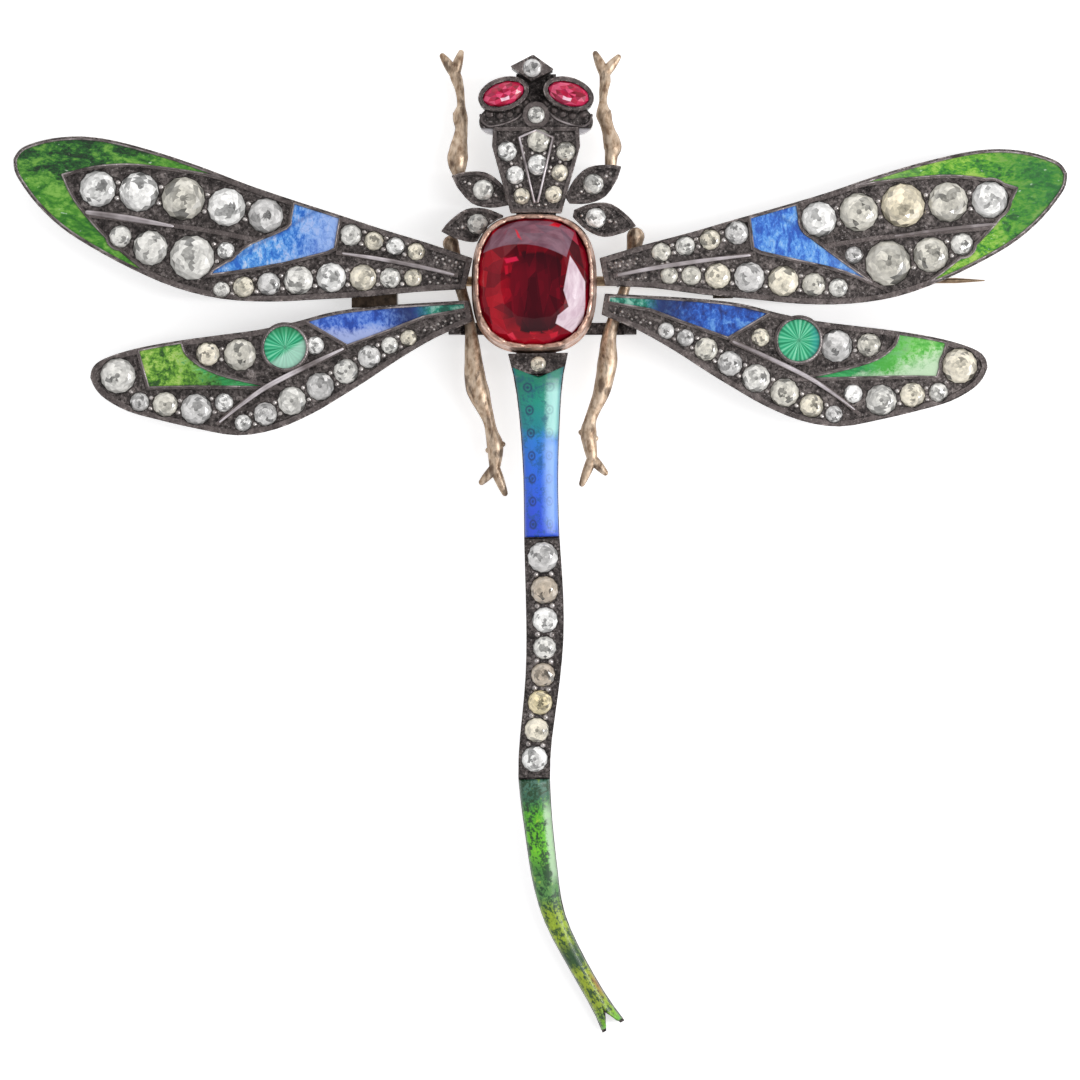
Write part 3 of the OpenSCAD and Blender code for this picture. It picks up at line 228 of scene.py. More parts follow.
class Finish:
    """A material with its own small tree of nodes around one surface shader, whose sockets are given by
    name, with _ for each space."""

    def __init__(self, name, **sockets):
        self.material = bpy.data.materials.new(name)
        self.material.use_nodes = True
        self.tree = self.material.node_tree
        self.shader = self.tree.nodes["Principled BSDF"]
        for key, value in sockets.items():
            self.shader.inputs[key.replace("_", " ")].default_value = value

    def join(self, value, socket):
        """Links a value to a socket, or sets the socket to a plain number or colour."""
        value = getattr(value, "socket", value)
        if isinstance(value, bpy.types.NodeSocket):
            self.tree.links.new(value, socket)
        elif value is not None:
            socket.default_value = value

    def add(self, kind, inputs, output=0, **settings):
        """A node with its settings and inputs, given as the value that it puts out."""
        node = self.tree.nodes.new(kind)
        for key, value in settings.items():
            setattr(node, key, value)
        for key, value in inputs.items():
            self.join(value, node.inputs[key])
        return Value(self, node.outputs[output])

    def work(self, operation, a, b=0.0):
        """One step of arithmetic on two values."""
        return self.add("ShaderNodeMath", {0: a, 1: b}, operation=operation)

    def vectors(self, operation, a, b=(0, 0, 0), output=0):
        """One step of arithmetic on two vectors."""
        return self.add("ShaderNodeVectorMath", {0: a, 1: b}, output, operation=operation)

    def where(self):
        """Object coordinates in metres."""
        return self.add("ShaderNodeTexCoord", {}, "Object")

    def place(self):
        """Object coordinates in millimetres."""
        return self.stretched(self.where(), (1000, 1000, 1000))

    def local(self, x, y, sizes, turn=0.0):
        """Object coordinates from a middle given in millimetres, turned, as shares of the sizes."""
        inputs = {"Vector": self.where(), "Location": (x * MM, y * MM, 0), "Rotation": (0, 0, turn),
                  "Scale": sizes}
        return self.add("ShaderNodeMapping", inputs, vector_type="TEXTURE")

    def wing_place(self, wing):
        """Shares along and across a wing, from Object coordinates."""
        x0, y0, slant, length, depth, side = WINGS[wing]
        return self.local(BODY[0] + x0, BODY[1] + y0, (side * length * MM, depth * MM, 1),
                          math.radians(side * slant))

    def stretched(self, vector, scale, turn=0.0):
        """A vector times a scale each way, then turned about the upright."""
        return self.add("ShaderNodeMapping", {"Vector": vector, "Scale": scale, "Rotation": (0, 0, turn)})

    def noise(self, vector, scale, detail, rough=0.55, twist=0.0):
        """A cloudy chance value from 0 to 1."""
        inputs = {"Vector": vector, "Scale": scale, "Detail": detail, "Roughness": rough,
                  "Distortion": twist}
        return self.add("ShaderNodeTexNoise", inputs, "Fac")

    def mottle(self, vector, coarse, fine, share=0.45):
        """Ragged patches: a coarse and a fine noise mixed by a share."""
        a, b = self.noise(vector, coarse, 5, 0.62, 0.6), self.noise(vector, fine, 5, 0.7, 0.4)
        return (a * (1 - share) + b * share) * 1.7 - 0.35

    def patch(self, vector):
        """A chance value for each of many small angular patches."""
        return self.parts(self.add("ShaderNodeTexVoronoi", {"Vector": vector, "Scale": 1.0}, "Color"))[0]

    def ramp(self, factor, *stops):
        """Colour or grey by a factor: stops are pairs of place and value."""
        node = self.tree.nodes.new("ShaderNodeValToRGB")
        self.join(factor, node.inputs["Fac"])
        parts = node.color_ramp.elements
        while len(parts) < len(stops):
            parts.new(0.5)
        for part, (at, value) in zip(parts, stops):
            part.position, part.color = at, paint(value)
        return Value(self, node.outputs["Color"])

    def mix(self, factor, a, b, blend="MIX"):
        """From a to b as the factor goes from 0 to 1."""
        inputs = {0: factor, 6: paint(a), 7: paint(b)}
        return self.add("ShaderNodeMix", inputs, 2, data_type="RGBA", blend_type=blend)

    def over(self, colour, tone, factor, *stops):
        """A tone laid over a colour, as strongly as a ramp of the factor says."""
        return self.mix(self.ramp(factor, *stops), colour, tone)

    def parts(self, vector):
        """The three parts of a vector."""
        outputs = self.add("ShaderNodeSeparateXYZ", {0: vector}).socket.node.outputs
        return [Value(self, socket) for socket in outputs]

    def use(self, colour, rough=None, height=None, bump=0.0, depth=0.0):
        """The material, with its colour and, where given, its roughness and a relief depth mm deep."""
        self.join(colour, self.shader.inputs["Base Color"])
        self.join(rough, self.shader.inputs["Roughness"])
        if height is not None:
            inputs = {"Strength": bump, "Distance": depth * MM, "Height": height}
            self.join(self.add("ShaderNodeBump", inputs), self.shader.inputs["Normal"])
        return self.material


def dark_silver(name, worn=None, tone=1.0, low=None):
    """Oxidised silver: blotched dark grey with small dark specks and small painted bright specks that stand
    in for glints, paler and pinkish on raised edges above the height worn and, where low is given, a
    painted pale highlight below that place along the body."""
    f = Finish(name, Metallic=0.75)
    at = f.place()
    patches = f.noise(at, 0.9, 5, 0.6)
    grit = f.noise(at, 4.2, 4, 0.65)
    colour = f.ramp(patches, (0.34, (54, 49, 48, tone)), (0.54, (92, 85, 83, tone)),
                    (0.72, (142, 133, 130, tone)))
    colour = f.over(colour, (24, 21, 21), grit, (0.42, 0.75), (0.52, 0.0))
    # Painted glints: small bright specks over the dark silver.
    colour = f.over(colour, (176, 168, 166), grit, (0.6, 0.0), (0.66, 0.65))
    if worn is not None:
        edge = (f.parts(at)[2] - worn) * 2.0 + patches * 0.45
        colour = f.over(colour, (124, 114, 112), edge, (0.4, 0.0), (0.675, 0.55))
    # Painted highlight: paler below the given place along the body.
    if low is not None:
        under = float(low) + 0.5 - f.parts(at)[1]
        colour = f.over(colour, (206, 202, 206), under, (0.5, 0.0), (0.7, 0.85))
    rough = f.ramp(patches, (0.3, 0.26), (0.7, 0.42))
    return f.use(colour, rough, patches + grit, 0.55, 0.1)


def rubbed_silver(name, metallic, rough, patches, grain, bump, *stops):
    """Silver rubbed bright: its tone follows soft patches, over a fine relief. patches gives their scale,
    detail and roughness, grain the scale of the relief."""
    f = Finish(name, Metallic=metallic, Roughness=rough)
    at = f.place()
    return f.use(f.ramp(f.noise(at, *patches), *stops), None, f.noise(at, grain, 3), bump, 0.03)


def leg_gold():
    """Chased rose gold: smooth cream tops, brown patina in long hollows, and painted shade where the rod
    turns away from view.
    """
    f = Finish("chased_rose_gold", Metallic=0.6)
    at = f.place()
    patches = f.noise(f.stretched(at, (1.2, 0.45, 1.0)), 0.9, 5, 0.6, 0.3)
    grit = f.noise(f.stretched(at, (1.0, 0.5, 1.0)), 2.2, 4, 0.6)
    # Painted shade: darker brown where the rod's surface turns away from the camera, by its facing.
    turned = f.add("ShaderNodeLayerWeight", {"Blend": 0.35}, "Facing")
    colour = f.ramp(grit, (0.34, (150, 122, 98)), (0.45, (196, 170, 144)), (0.6, (226, 204, 180)))
    colour = f.over(colour, (104, 80, 62), turned, (0.22, 0.0), (0.6, 0.75))
    colour = f.over(colour, (84, 66, 54), patches, (0.52, 0.0), (0.62, 0.75))
    along = f.parts(at)[1] * 0.05 - 0.5
    upper = f.ramp(along, (0.35, 0.0), (0.5, 0.5), (0.87, 0.5), (0.93, 0.0))
    colour = f.mix(upper * f.ramp(grit, (0.4, 1.0), (0.6, 0.35)), colour, (88, 66, 52))
    rough = f.ramp(patches, (0.3, 0.32), (0.7, 0.48))
    return f.use(colour, rough, grit + patches * 0.5, 0.3, 0.06)


def collet_gold(name, pale, deep):
    """Rose gold of the collet and the fittings, a little darker in soft patches."""
    f = Finish(name, Metallic=0.9)
    at = f.place()
    patches = f.noise(at, 1.3, 4, 0.6)
    colour = f.ramp(patches, (0.3, deep), (0.62, pale))
    hollow = f.ramp(f.noise(at, 1.7, 4, 0.6), (0.5, 0.0), (0.64, 0.55))
    colour = f.mix(hollow, colour, (*deep, 0.4))
    return f.use(colour, f.ramp(patches, (0.3, 0.4), (0.7, 0.26)), f.noise(at, 6, 3), 0.2, 0.04)


def facets(name, **sockets):
    """Stone whose facets each carry a painted tone that stands in for what they reflect, under a hard
    polish.
    """
    f = Finish(name, **sockets)
    tone = f.add("ShaderNodeAttribute", {}, "Color", attribute_name="facet")
    at = f.place()
    clouds = f.ramp(f.noise(at, 2.4, 2, 0.5), (0.38, 0.86), (0.58, 1.08))
    return f.use(f.mix(1.0, tone, clouds, "MULTIPLY"))


# Painted bright flashes (reflections) of the centre stone: corners as shares of its half width and half
# length, then the tone
PAINTED_FLASHES = [([(-0.36, 0.84), (-0.29, 0.8), (-0.2, 0.62), (-0.3, 0.68)], (222, 40, 62)),
           ([(-0.55, 0.35), (-0.31, 0.39), (-0.26, 0.31), (-0.5, 0.26)], (214, 30, 70)),
           ([(-0.54, 0.24), (-0.46, 0.25), (-0.45, 0.1), (-0.52, 0.08)], (190, 16, 44)),
           ([(0.24, 0.88), (0.36, 0.94), (0.52, 0.91), (0.44, 0.84)], (224, 24, 48)),
           ([(-0.5, -0.84), (-0.38, -0.8), (-0.3, -0.93), (-0.4, -0.95)], (232, 50, 76)),
           ([(0.26, -0.83), (0.44, -0.78), (0.42, -0.88), (0.3, -0.92)], (206, 24, 50)),
           ([(-0.8, -0.48), (-0.7, -0.42), (-0.62, -0.62), (-0.72, -0.66)], (186, 12, 36))]


def red_facets():
    """The centre stone: painted facet tones, crossed by painted reflections of the three shapes that its
    crown throws back: a grey arc over its head end, one red sliver in the arc and a pale blade low on the
    right. Under them is painted light of what shows through the table."""
    f = Finish("red_cushion_stone", Roughness=0.04, IOR=1.76, Specular_IOR_Level=0.16)
    tone = f.add("ShaderNodeAttribute", {}, "Color", attribute_name="facet")
    at = f.local(*BODY, (STONE_HALF[0] * MM, STONE_HALF[1] * MM, MM))
    x, y = f.parts(at)[:2]

    def inside(corners, soft=0.012):
        """1 inside a corner list that goes clockwise: the least signed distance to its sides is above 0.
        Near the sides it rises from 0 to 1 over the distance soft."""
        least = None
        for (x0, y0), (x1, y1) in zip(corners, corners[1:] + corners[:1]):
            length = math.hypot(x1 - x0, y1 - y0)
            a, b = (y1 - y0) / length, -(x1 - x0) / length
            far = x * a + (y * b - (a * x0 + b * y0))
            least = far if least is None else f.work("MINIMUM", least, far)
        return f.ramp(least, (0.0, 0.0), (soft, 1.0))

    clouds = f.noise(at, 3.0, 5, 0.6)
    depth = f.patch(f.stretched(at, (4.6, 1.3, 1), 0.15))
    depth = f.patch(f.stretched(at, (7.5, 3.0, 1), 0.4)) * 0.35 + depth * 0.65
    # Painted light of what shows through the table: dark red patches, darker towards both ends, brighter on
    # the left.
    seen = f.ramp(depth, (0.15, (62, 5, 18)), (0.45, (80, 6, 22)), (0.68, (98, 7, 25)), (0.9, (126, 9, 31)))
    ahead = abs(y + 0.17)
    seen = f.over(seen, (40, 6, 16), ahead, (0.3, 0.0), (0.6, 0.7))
    table = (abs(x - 0.03) / 0.5) ** 3.2 + (ahead / 0.66) ** 3.2 + depth * 0.5
    colour = f.mix(1.0, tone, f.ramp(clouds * 0.6 + depth * 0.4, (0.3, 0.4), (0.65, 0.85)), "MULTIPLY")
    # Painted light: brighter patches at the left and at the foot.
    painted_lit = f.patch(f.stretched(at, (2.6, 5.2, 1), -0.2))
    painted_lit = f.ramp(painted_lit, (0.15, (116, 9, 27)), (0.5, (148, 12, 33)), (0.85, (190, 16, 36)))
    x_up, y_up = x + 1.0, y + 1.0
    left = f.ramp(depth * 0.12 + x_up, (0.38, 0.85), (0.7, 0.0))
    low = f.ramp(depth * 0.1 + y_up, (0.2, 0.8), (0.42, 0.0))
    colour = f.mix(f.work("MAXIMUM", left, low), colour, painted_lit)
    seen = f.over(seen, (138, 9, 32), x_up, (0.5, 0.5), (0.85, 0.0))
    colour = f.over(colour, seen, table * 0.5, (0.48, 1.0), (0.56, 0.0))
    # Painted reflection: the grey arc over the head end.
    reach = abs(x) ** SQUARED + abs(y) ** SQUARED
    bow = abs(x + 0.25) ** 2.0
    over = y - (0.57 - bow * 0.3)
    end = y * 0.36 + (0.45 - x)
    arc = f.work("MINIMUM", f.work("MINIMUM", over, 0.9 - reach), end)
    painted_veil = f.mix(0.72, colour, f.ramp(clouds, (0.35, (120, 88, 104)), (0.65, (152, 122, 138))))
    colour = f.over(colour, painted_veil, arc, (0.0, 0.0), (0.015, 1.0))
    # Painted flashes.
    for corners, flash in PAINTED_FLASHES:
        colour = f.mix(inside(corners, 0.02), colour, flash)
    # Painted reflection: the pale blade and its foot low on the right.
    painted_shine = f.ramp(clouds, (0.35, (206, 178, 192)), (0.65, (240, 222, 230)))
    blade = inside([(0.637, 0.408), (0.76, 0.245), (0.919, -0.007), (0.919, -0.404), (0.617, -0.43),
                    (0.516, -0.152), (0.577, 0.137)])
    foot = inside([(0.617, -0.4), (0.919, -0.39), (0.879, -0.621), (0.677, -0.819), (0.375, -0.675),
                   (0.415, -0.549)])
    colour = f.mix(f.work("MAXIMUM", blade, foot), colour, painted_shine)
    return f.use(colour)


def glassy(name, rough=0.25, coat=1.0, coat_rough=0.04):
    """Start of an enamel: a coloured body under a clear fired coat."""
    return Finish(name, Roughness=rough, Coat_Weight=coat, Coat_Roughness=coat_rough, IOR=1.5)


def enamel(name, wing):
    """Start of a wing's enamel: its finish, and the shares along and across the wing."""
    f = glassy(name + "_enamel_finish_" + wing)
    u, v, _ = f.parts(f.wing_place(wing))
    return f, u, v


def tip_green(wing, left):
    """Green of an upper wing's tip: ragged patches that run with the wing, brightest along its back edge
    on the left and everywhere on the right, with a painted pale highlight at the inner end and a few
    painted white highlights."""
    f, u, v = enamel("tip", wing)
    slanting = f.stretched(f.place(), (0.7, 1.3, 1), 0.6 if left else -0.6)
    body = f.mottle(slanting, 0.55, 2.6)
    if left:
        colour = f.ramp(body, (0.36, (10, 46, 18)), (0.46, (22, 84, 28)), (0.54, (52, 122, 36)),
                        (0.64, (110, 168, 62)))
        bright = f.ramp(body, (0.36, (34, 112, 22)), (0.5, (76, 152, 34)), (0.66, (134, 192, 78)))
        low = body * 0.3 - v
        colour = f.over(colour, bright, low, (0.12, 0.0), (0.3, 0.9))
        colour = f.over(colour, bright, u - body * 0.25, (0.56, 0.9), (0.68, 0.0))
        # Painted highlight: pale at the inner end.
        colour = f.over(colour, (150, 196, 116), u, (0.53, 0.8), (0.62, 0.0))
    else:
        colour = f.ramp(body, (0.36, (22, 90, 26)), (0.45, (56, 146, 30)), (0.53, (112, 184, 36)),
                        (0.64, (178, 218, 92)))
        colour = f.over(colour, (28, 122, 44), (body * 0.3 + u) * 0.8, (0.79, 0.0), (0.86, 0.6))
        # Painted highlight: pale at the inner end.
        colour = f.over(colour, (176, 214, 136), u, (0.54, 0.7), (0.72, 0.0))
    # Painted highlights: a few small pale patches.
    colour = f.over(colour, (206, 236, 200), f.noise(slanting, 1.9, 3, 0.5), (0.68, 0.0), (0.72, 0.7))
    return f.use(colour, None, body, 0.35, 0.14)


def sky_blue(wing, left):
    """Blue of an upper wing: bright ragged patches under a fine crackle, a darker crease where the block
    turns into the tail part, and a paler block on the left."""
    f, u, v = enamel("blue", wing)
    mm = f.place()
    body = f.mottle(f.stretched(mm, (1.2, 0.7, 1), 0.5 if left else -0.5), 0.8, 3.2)
    shaken = f.vectors("ADD", mm, f.add("ShaderNodeTexNoise", {"Vector": mm, "Scale": 1.2}, "Color"))
    crackle = f.add("ShaderNodeTexVoronoi", {"Vector": shaken, "Scale": 1.15}, feature="DISTANCE_TO_EDGE")
    if left:
        colour = f.ramp(body, (0.36, (34, 106, 206)), (0.47, (74, 152, 236)), (0.55, (122, 184, 248)),
                        (0.66, (196, 218, 252)))
        colour = f.over(colour, (164, 190, 248), u - body * 0.3, (0.17, 0.75), (0.26, 0.0))
    else:
        colour = f.ramp(body, (0.36, (34, 88, 192)), (0.47, (60, 126, 226)), (0.57, (104, 172, 248)),
                        (0.7, (160, 204, 250)))
        colour = f.over(colour, (146, 192, 236), u, (0.46, 0.0), (0.56, 0.55))
    colour = f.over(colour, (40, 100, 196), crackle, (0.0, 0.4), (0.05, 0.0))
    crease = abs((0.395 if left else 0.427) - v * 0.28 - u)
    colour = f.over(colour, (34, 88, 176), crease, (0.001, 0.6), (0.009, 0.0))
    return f.use(colour, None, body + crackle * 0.4, 0.3, 0.12)


def royal_blue(wing, left):
    """Blue of a lower wing's root: royal blue in ragged slanting streaks, pale along the back on the left,
    dark blue and then teal where it meets the body."""
    f, u, v = enamel("root", wing)
    body = f.mottle(f.stretched(f.place(), (1.1, 0.8, 1), 0.9 if left else -0.9), 0.7, 2.4)
    if left:
        colour = f.ramp(body, (0.36, (28, 70, 168)), (0.48, (56, 104, 208)), (0.6, (112, 152, 232)))
        low = u * 0.62 + (body * 0.25 - v)
        colour = f.over(colour, (178, 192, 238), low, (0.3, 0.0), (0.38, 0.85))
    else:
        colour = f.ramp(body, (0.34, (12, 44, 112)), (0.45, (24, 72, 166)), (0.55, (42, 104, 206)),
                        (0.68, (104, 162, 232)))
    start = body * 0.08 + u
    colour = f.over(colour, (10, 26, 78), abs(start - 0.2), (0.01, 0.85), (0.08, 0.0))
    teal = f.ramp(body, (0.4, (6, 96, 78)), (0.5, (36, 150, 126)), (0.62, (150, 206, 188)))
    colour = f.over(colour, teal, start, (0.14, 1.0), (0.18, 0.0))
    return f.use(colour, None, body, 0.3, 0.12)


def leaf_green(wing, left):
    """Green leaf of a lower wing: lime and dark patches at its broad end, emerald with fine rays towards
    its point; on the right the broad end pales to mint."""
    f, u, v = enamel("leaf", wing)
    rays = f.noise(f.stretched(f.wing_place(wing), (10, 34, 1), 0.5), 1.0, 6, 0.7, 0.6)
    body = f.mottle(f.place(), 0.6, 2.6)
    mixed = u - body * 0.35
    if left:
        lime = f.ramp(body, (0.36, (30, 76, 18)), (0.46, (74, 132, 28)), (0.55, (130, 186, 60)),
                      (0.68, (196, 222, 120)))
        point = f.ramp(rays, (0.36, (12, 104, 46)), (0.55, (40, 162, 82)), (0.7, (110, 204, 140)))
        colour = f.over(point, lime, mixed, (0.48, 0.0), (0.56, 1.0))
    else:
        mint = f.ramp(body, (0.36, (70, 176, 56)), (0.5, (108, 204, 84)), (0.66, (176, 230, 150)))
        point = f.ramp(rays, (0.36, (10, 122, 60)), (0.55, (36, 170, 86)), (0.72, (112, 212, 140)))
        colour = f.over(point, mint, mixed, (0.5, 0.0), (0.62, 1.0))
        pale = body * 0.2 + u - v * 0.5
        colour = f.over(colour, (216, 240, 208), pale, (0.93, 0.0), (1.0, 0.85))
    return f.use(colour, None, rays + body, 0.3, 0.12)


# Places of the round discs along and across the lower wings
DISC = {"lower_left": (0.49, -0.085), "lower_right": (0.511, -0.085)}


def disc_green(wing, left):
    """Emerald disc: rays engraved from its middle, a bluish or pale far side."""
    f = glassy("disc_enamel_finish_" + wing)
    at = f.local(*wing_point(wing, *DISC[wing]), (DISC_R * MM, DISC_R * MM, 1))
    x, y = f.parts(at)[:2]
    angle = f.work("ARCTAN2", y, x)
    rays = f.work("SINE", angle * 26.0)
    wide = f.work("SINE", angle * 9.0)
    tone = rays * 0.2 + (wide * 0.12 + 0.5)
    colour = f.ramp(tone, (0.2, (16, 138, 94)), (0.5, (44, 186, 132)), (0.8, (128, 226, 182)))
    if left:
        low = x * 0.55 - y * 0.8
        colour = f.over(colour, (188, 232, 214), low, (0.12, 0.0), (0.3, 0.75))
        colour = f.over(colour, (20, 132, 70), y, (0.45, 0.0), (0.8, 0.6))
    else:
        colour = f.over(colour, (40, 176, 176), x, (0.45, 0.0), (0.8, 0.6))
    colour = f.over(colour, (10, 100, 72), (x * x + y * y) ** 0.5, (0.03, 0.5), (0.12, 0.0))
    return f.use(colour, None, tone, 0.35, 0.12)


def ring_marks(f, uv, columns, rows, wobble=0.0):
    """Small engraved rings in even rows: distance from the middle of each cell of a grid on the tail's own
    places, dark dot inside, dark ring outside."""
    cell = f.vectors("FRACTION", f.vectors("ADD", f.stretched(uv, (columns, rows, 1)), (wobble, 0.05, 0)))
    reach = f.vectors("LENGTH", f.vectors("SUBTRACT", cell, (0.5, 0.5, 0)), output="Value")
    return f.ramp(reach, (0.04, 0.9), (0.09, 0.2), (0.12, 0.2), (0.17, 1.0), (0.25, 0.0))


def tail_blue():
    """Blue of the tail: teal at the body, azure, then royal blue, with two columns of engraved rings and a
    painted pale highlight along its right half."""
    f = glassy("tail_blue_finish", 0.4, 0.4, 0.2)
    uv = f.add("ShaderNodeUVMap", {}, uv_map="place")
    s, t = f.parts(uv)[:2]
    body = f.mottle(f.stretched(uv, (3.2, 14, 1)), 1.0, 4.0)
    drift = body * 0.2 + (t - 0.1)
    colour = f.ramp(drift, (0.0, (8, 128, 100)), (0.16, (14, 152, 130)), (0.32, (14, 140, 150)),
                    (0.4, (34, 128, 222)), (0.62, (40, 108, 238)), (0.92, (44, 82, 226)))
    colour = f.over(colour, (8, 80, 124), body, (0.36, 0.6), (0.5, 0.0))
    # Painted highlight: a pale band along the right half, mint near the body and light blue further down.
    side = body * 0.22 + s
    pale = f.ramp(side, (0.74, 0.0), (0.84, 0.9)) * f.ramp(t, (0.03, 0.2), (0.1, 1.0), (0.33, 1.0),
                                                           (0.4, 0.0))
    colour = f.mix(pale, colour, (158, 224, 216))
    soft = f.ramp(side, (0.6, 0.0), (0.84, 0.75)) * f.ramp(t, (0.36, 0.0), (0.44, 1.0), (0.9, 0.9),
                                                           (0.98, 0.2))
    colour = f.mix(soft, colour, (126, 178, 250))
    marks = ring_marks(f, uv, 2.0, 7.0) * f.ramp(s, (0.5, 0.9), (0.56, 0.3))
    colour = f.mix(marks, colour, (6, 46, 96))
    colour = f.over(colour, (10, 60, 130), abs(s - 0.5), (0.43, 0.0), (0.5, 0.5))
    return f.use(colour, None, body - marks * 0.5, 0.3, 0.1)


def tail_green():
    """Green of the tail: dark teal start, lime in ragged patches with dark rings and a painted pale
    highlight down its right, then olive and yellow with dark bands towards the fork."""
    f = glassy("tail_green_finish", 0.4, 0.4, 0.2)
    uv = f.add("ShaderNodeUVMap", {}, uv_map="place")
    s, t = f.parts(uv)[:2]
    body = f.mottle(f.stretched(uv, (2.6, 20, 1)), 1.0, 3.2, 0.5)
    drift = body * 0.14 + (t - 0.07)
    colour = f.ramp(drift, (0.0, (84, 128, 112)), (0.08, (44, 104, 76)), (0.14, (84, 178, 28)),
                    (0.3, (112, 208, 28)), (0.37, (70, 138, 54)), (0.48, (88, 146, 74)),
                    (0.54, (150, 176, 30)), (0.66, (154, 180, 28)), (0.7, (40, 76, 34)),
                    (0.75, (48, 86, 32)), (0.79, (156, 176, 32)), (0.92, (152, 172, 36)),
                    (1.0, (104, 182, 36)))
    colour = f.over(colour, (16, 66, 26), body, (0.42, 0.92), (0.5, 0.0))
    colour = f.over(colour, (186, 218, 70), body, (0.6, 0.0), (0.72, 0.5))
    colour = f.over(colour, (30, 58, 20), f.noise(f.stretched(uv, (5, 40, 1)), 1.6, 3, 0.6), (0.36, 0.75),
                    (0.42, 0.0))
    marks = ring_marks(f, uv, 2.0, 13.0, 0.5) * f.ramp(t, (0.5, 0.8), (0.62, 0.0))
    colour = f.mix(marks, colour, (14, 60, 26))
    # Painted highlight: a pale strip down the right side.
    painted_highlight_strip = f.ramp(body * 0.3 + s, (0.86, 0.0), (0.95, 0.8)) * f.ramp(abs(t - 0.26), (0.12, 1.0),
                                                                     (0.18, 0.0))
    colour = f.mix(painted_highlight_strip, colour, (186, 218, 178))
    rust = f.ramp(s, (0.7, 0.0), (0.9, 0.7)) * f.ramp(abs(t - 0.85), (0.02, 1.0), (0.06, 0.0))
    colour = f.mix(rust, colour, (164, 104, 52))
    colour = f.over(colour, (24, 60, 26), abs(s - 0.5), (0.42, 0.0), (0.5, 0.6))
    return f.use(colour, None, body, 0.35, 0.12)


# Stones
def merged(node):
    """Points and triangles of a node, with the points that lie in one place made one."""
    mesh = nodes[node].data
    co = np.zeros(len(mesh.vertices) * 3)
    mesh.vertices.foreach_get("co", co)
    mesh.calc_loop_triangles()
    tri = np.zeros(len(mesh.loop_triangles) * 3, int)
    mesh.loop_triangles.foreach_get("vertices", tri)
    points, same = np.unique(np.round(co.reshape(-1, 3) / MM, 3), axis=0, return_inverse=True)
    return points, same.ravel()[tri].reshape(-1, 3)


def solids_of(node):
    """Middle, girdle radius and girdle height of each stone in a node: each group of joined points takes
    its lowest number, and its lowest point is the middle. The rounds are enough for a stone's points."""
    points, tri = merged(node)
    label = np.arange(len(points))
    for _ in range(ROUNDS):
        low = label[tri].min(1)
        np.minimum.at(label, tri.ravel(), np.repeat(low, 3))
    out = []
    for k in np.unique(label[tri]):
        p = points[label == k]
        middle = p[p[:, 2].argmin()]
        r = np.hypot(*(p[:, :2] - middle[:2]).T).max()
        out.append([middle[0], middle[1], middle[2] + CULET * r, r])
    return np.array(out)


def cut_rings(n, rings):
    """Points and faces of a cut: rings of n points, every second ring turned by half a step, joined by
    triangles, closed by a point at the bottom and one at the top. Also each face's band and angle."""
    step = 2 * np.pi / n
    ring = np.array(rings[1:-1])
    angle = (np.arange(n)[None, :] + 0.5 * (np.arange(len(ring)) % 2)[:, None]) * step
    points = rows_of(ring[:, :1] * np.cos(angle), ring[:, :1] * np.sin(angle), ring[:, 1:]).reshape(-1, 3)
    low, top = len(points), len(points) + 1
    points = np.concatenate([points, [[0, 0, rings[0][1]], [0, 0, rings[-1][1]]]])
    j = np.arange(n)
    k = (j + 1) % n
    faces, band = [np.stack([np.full(n, low), k, j], -1)], [np.zeros(n, int)]
    for i in range(len(ring) - 1):
        a, b = i * n, (i + 1) * n
        if i % 2 == 0:
            faces += [np.stack([a + j, a + k, b + j], -1), np.stack([b + j, a + k, b + k], -1)]
        else:
            faces += [np.stack([a + j, b + k, b + j], -1), np.stack([a + j, a + k, b + k], -1)]
        band += [np.full(n, i + 1), np.full(n, i + 1)]
    a = (len(ring) - 1) * n
    faces.append(np.stack([a + j, a + k, np.full(n, top)], -1))
    band.append(np.full(n, len(ring)))
    faces, band = np.concatenate(faces), np.concatenate(band)
    middle = points[faces].mean(1)
    return points, faces, band, np.arctan2(middle[:, 1], middle[:, 0])


# An old cut, in girdle radii: culet, girdle, crown, table edge and the pattern seen through the table
CULET, ROUNDS = 0.56, 60
OLD_CUT = [(0, -CULET), (1, -0.08), (1, 0.0), (0.9, 0.12), (0.78, 0.22), (0.64, 0.29), (0.5, 0.31),
           (0.34, 0.315),
           (0.14, 0.319), (0, 0.32)]
CREAM, WHITE, GREY = (240, 232, 212), (250, 249, 246), (220, 218, 216)
TAUPE, YELLOW, GLOW = (196, 182, 164), (246, 230, 186), (255, 243, 214)
# Stones whose tint stands out. Columns: place across and along from the centre stone, tint
TINTED = [(33.1, 6.7, GLOW), (28.9, 7.2, WHITE), (0.9, -27.5, TAUPE), (0.7, -24.4, GREY),
          (1.0, -30.3, WHITE),
          (0.6, -34.9, TAUPE), (0.2, -37.5, YELLOW), (0.1, -40.0, CREAM), (-0.1, -42.4, WHITE),
          (-34.2, 8.3, CREAM),
          (-30.2, 6.9, WHITE), (-8.1, -4.3, WHITE)]


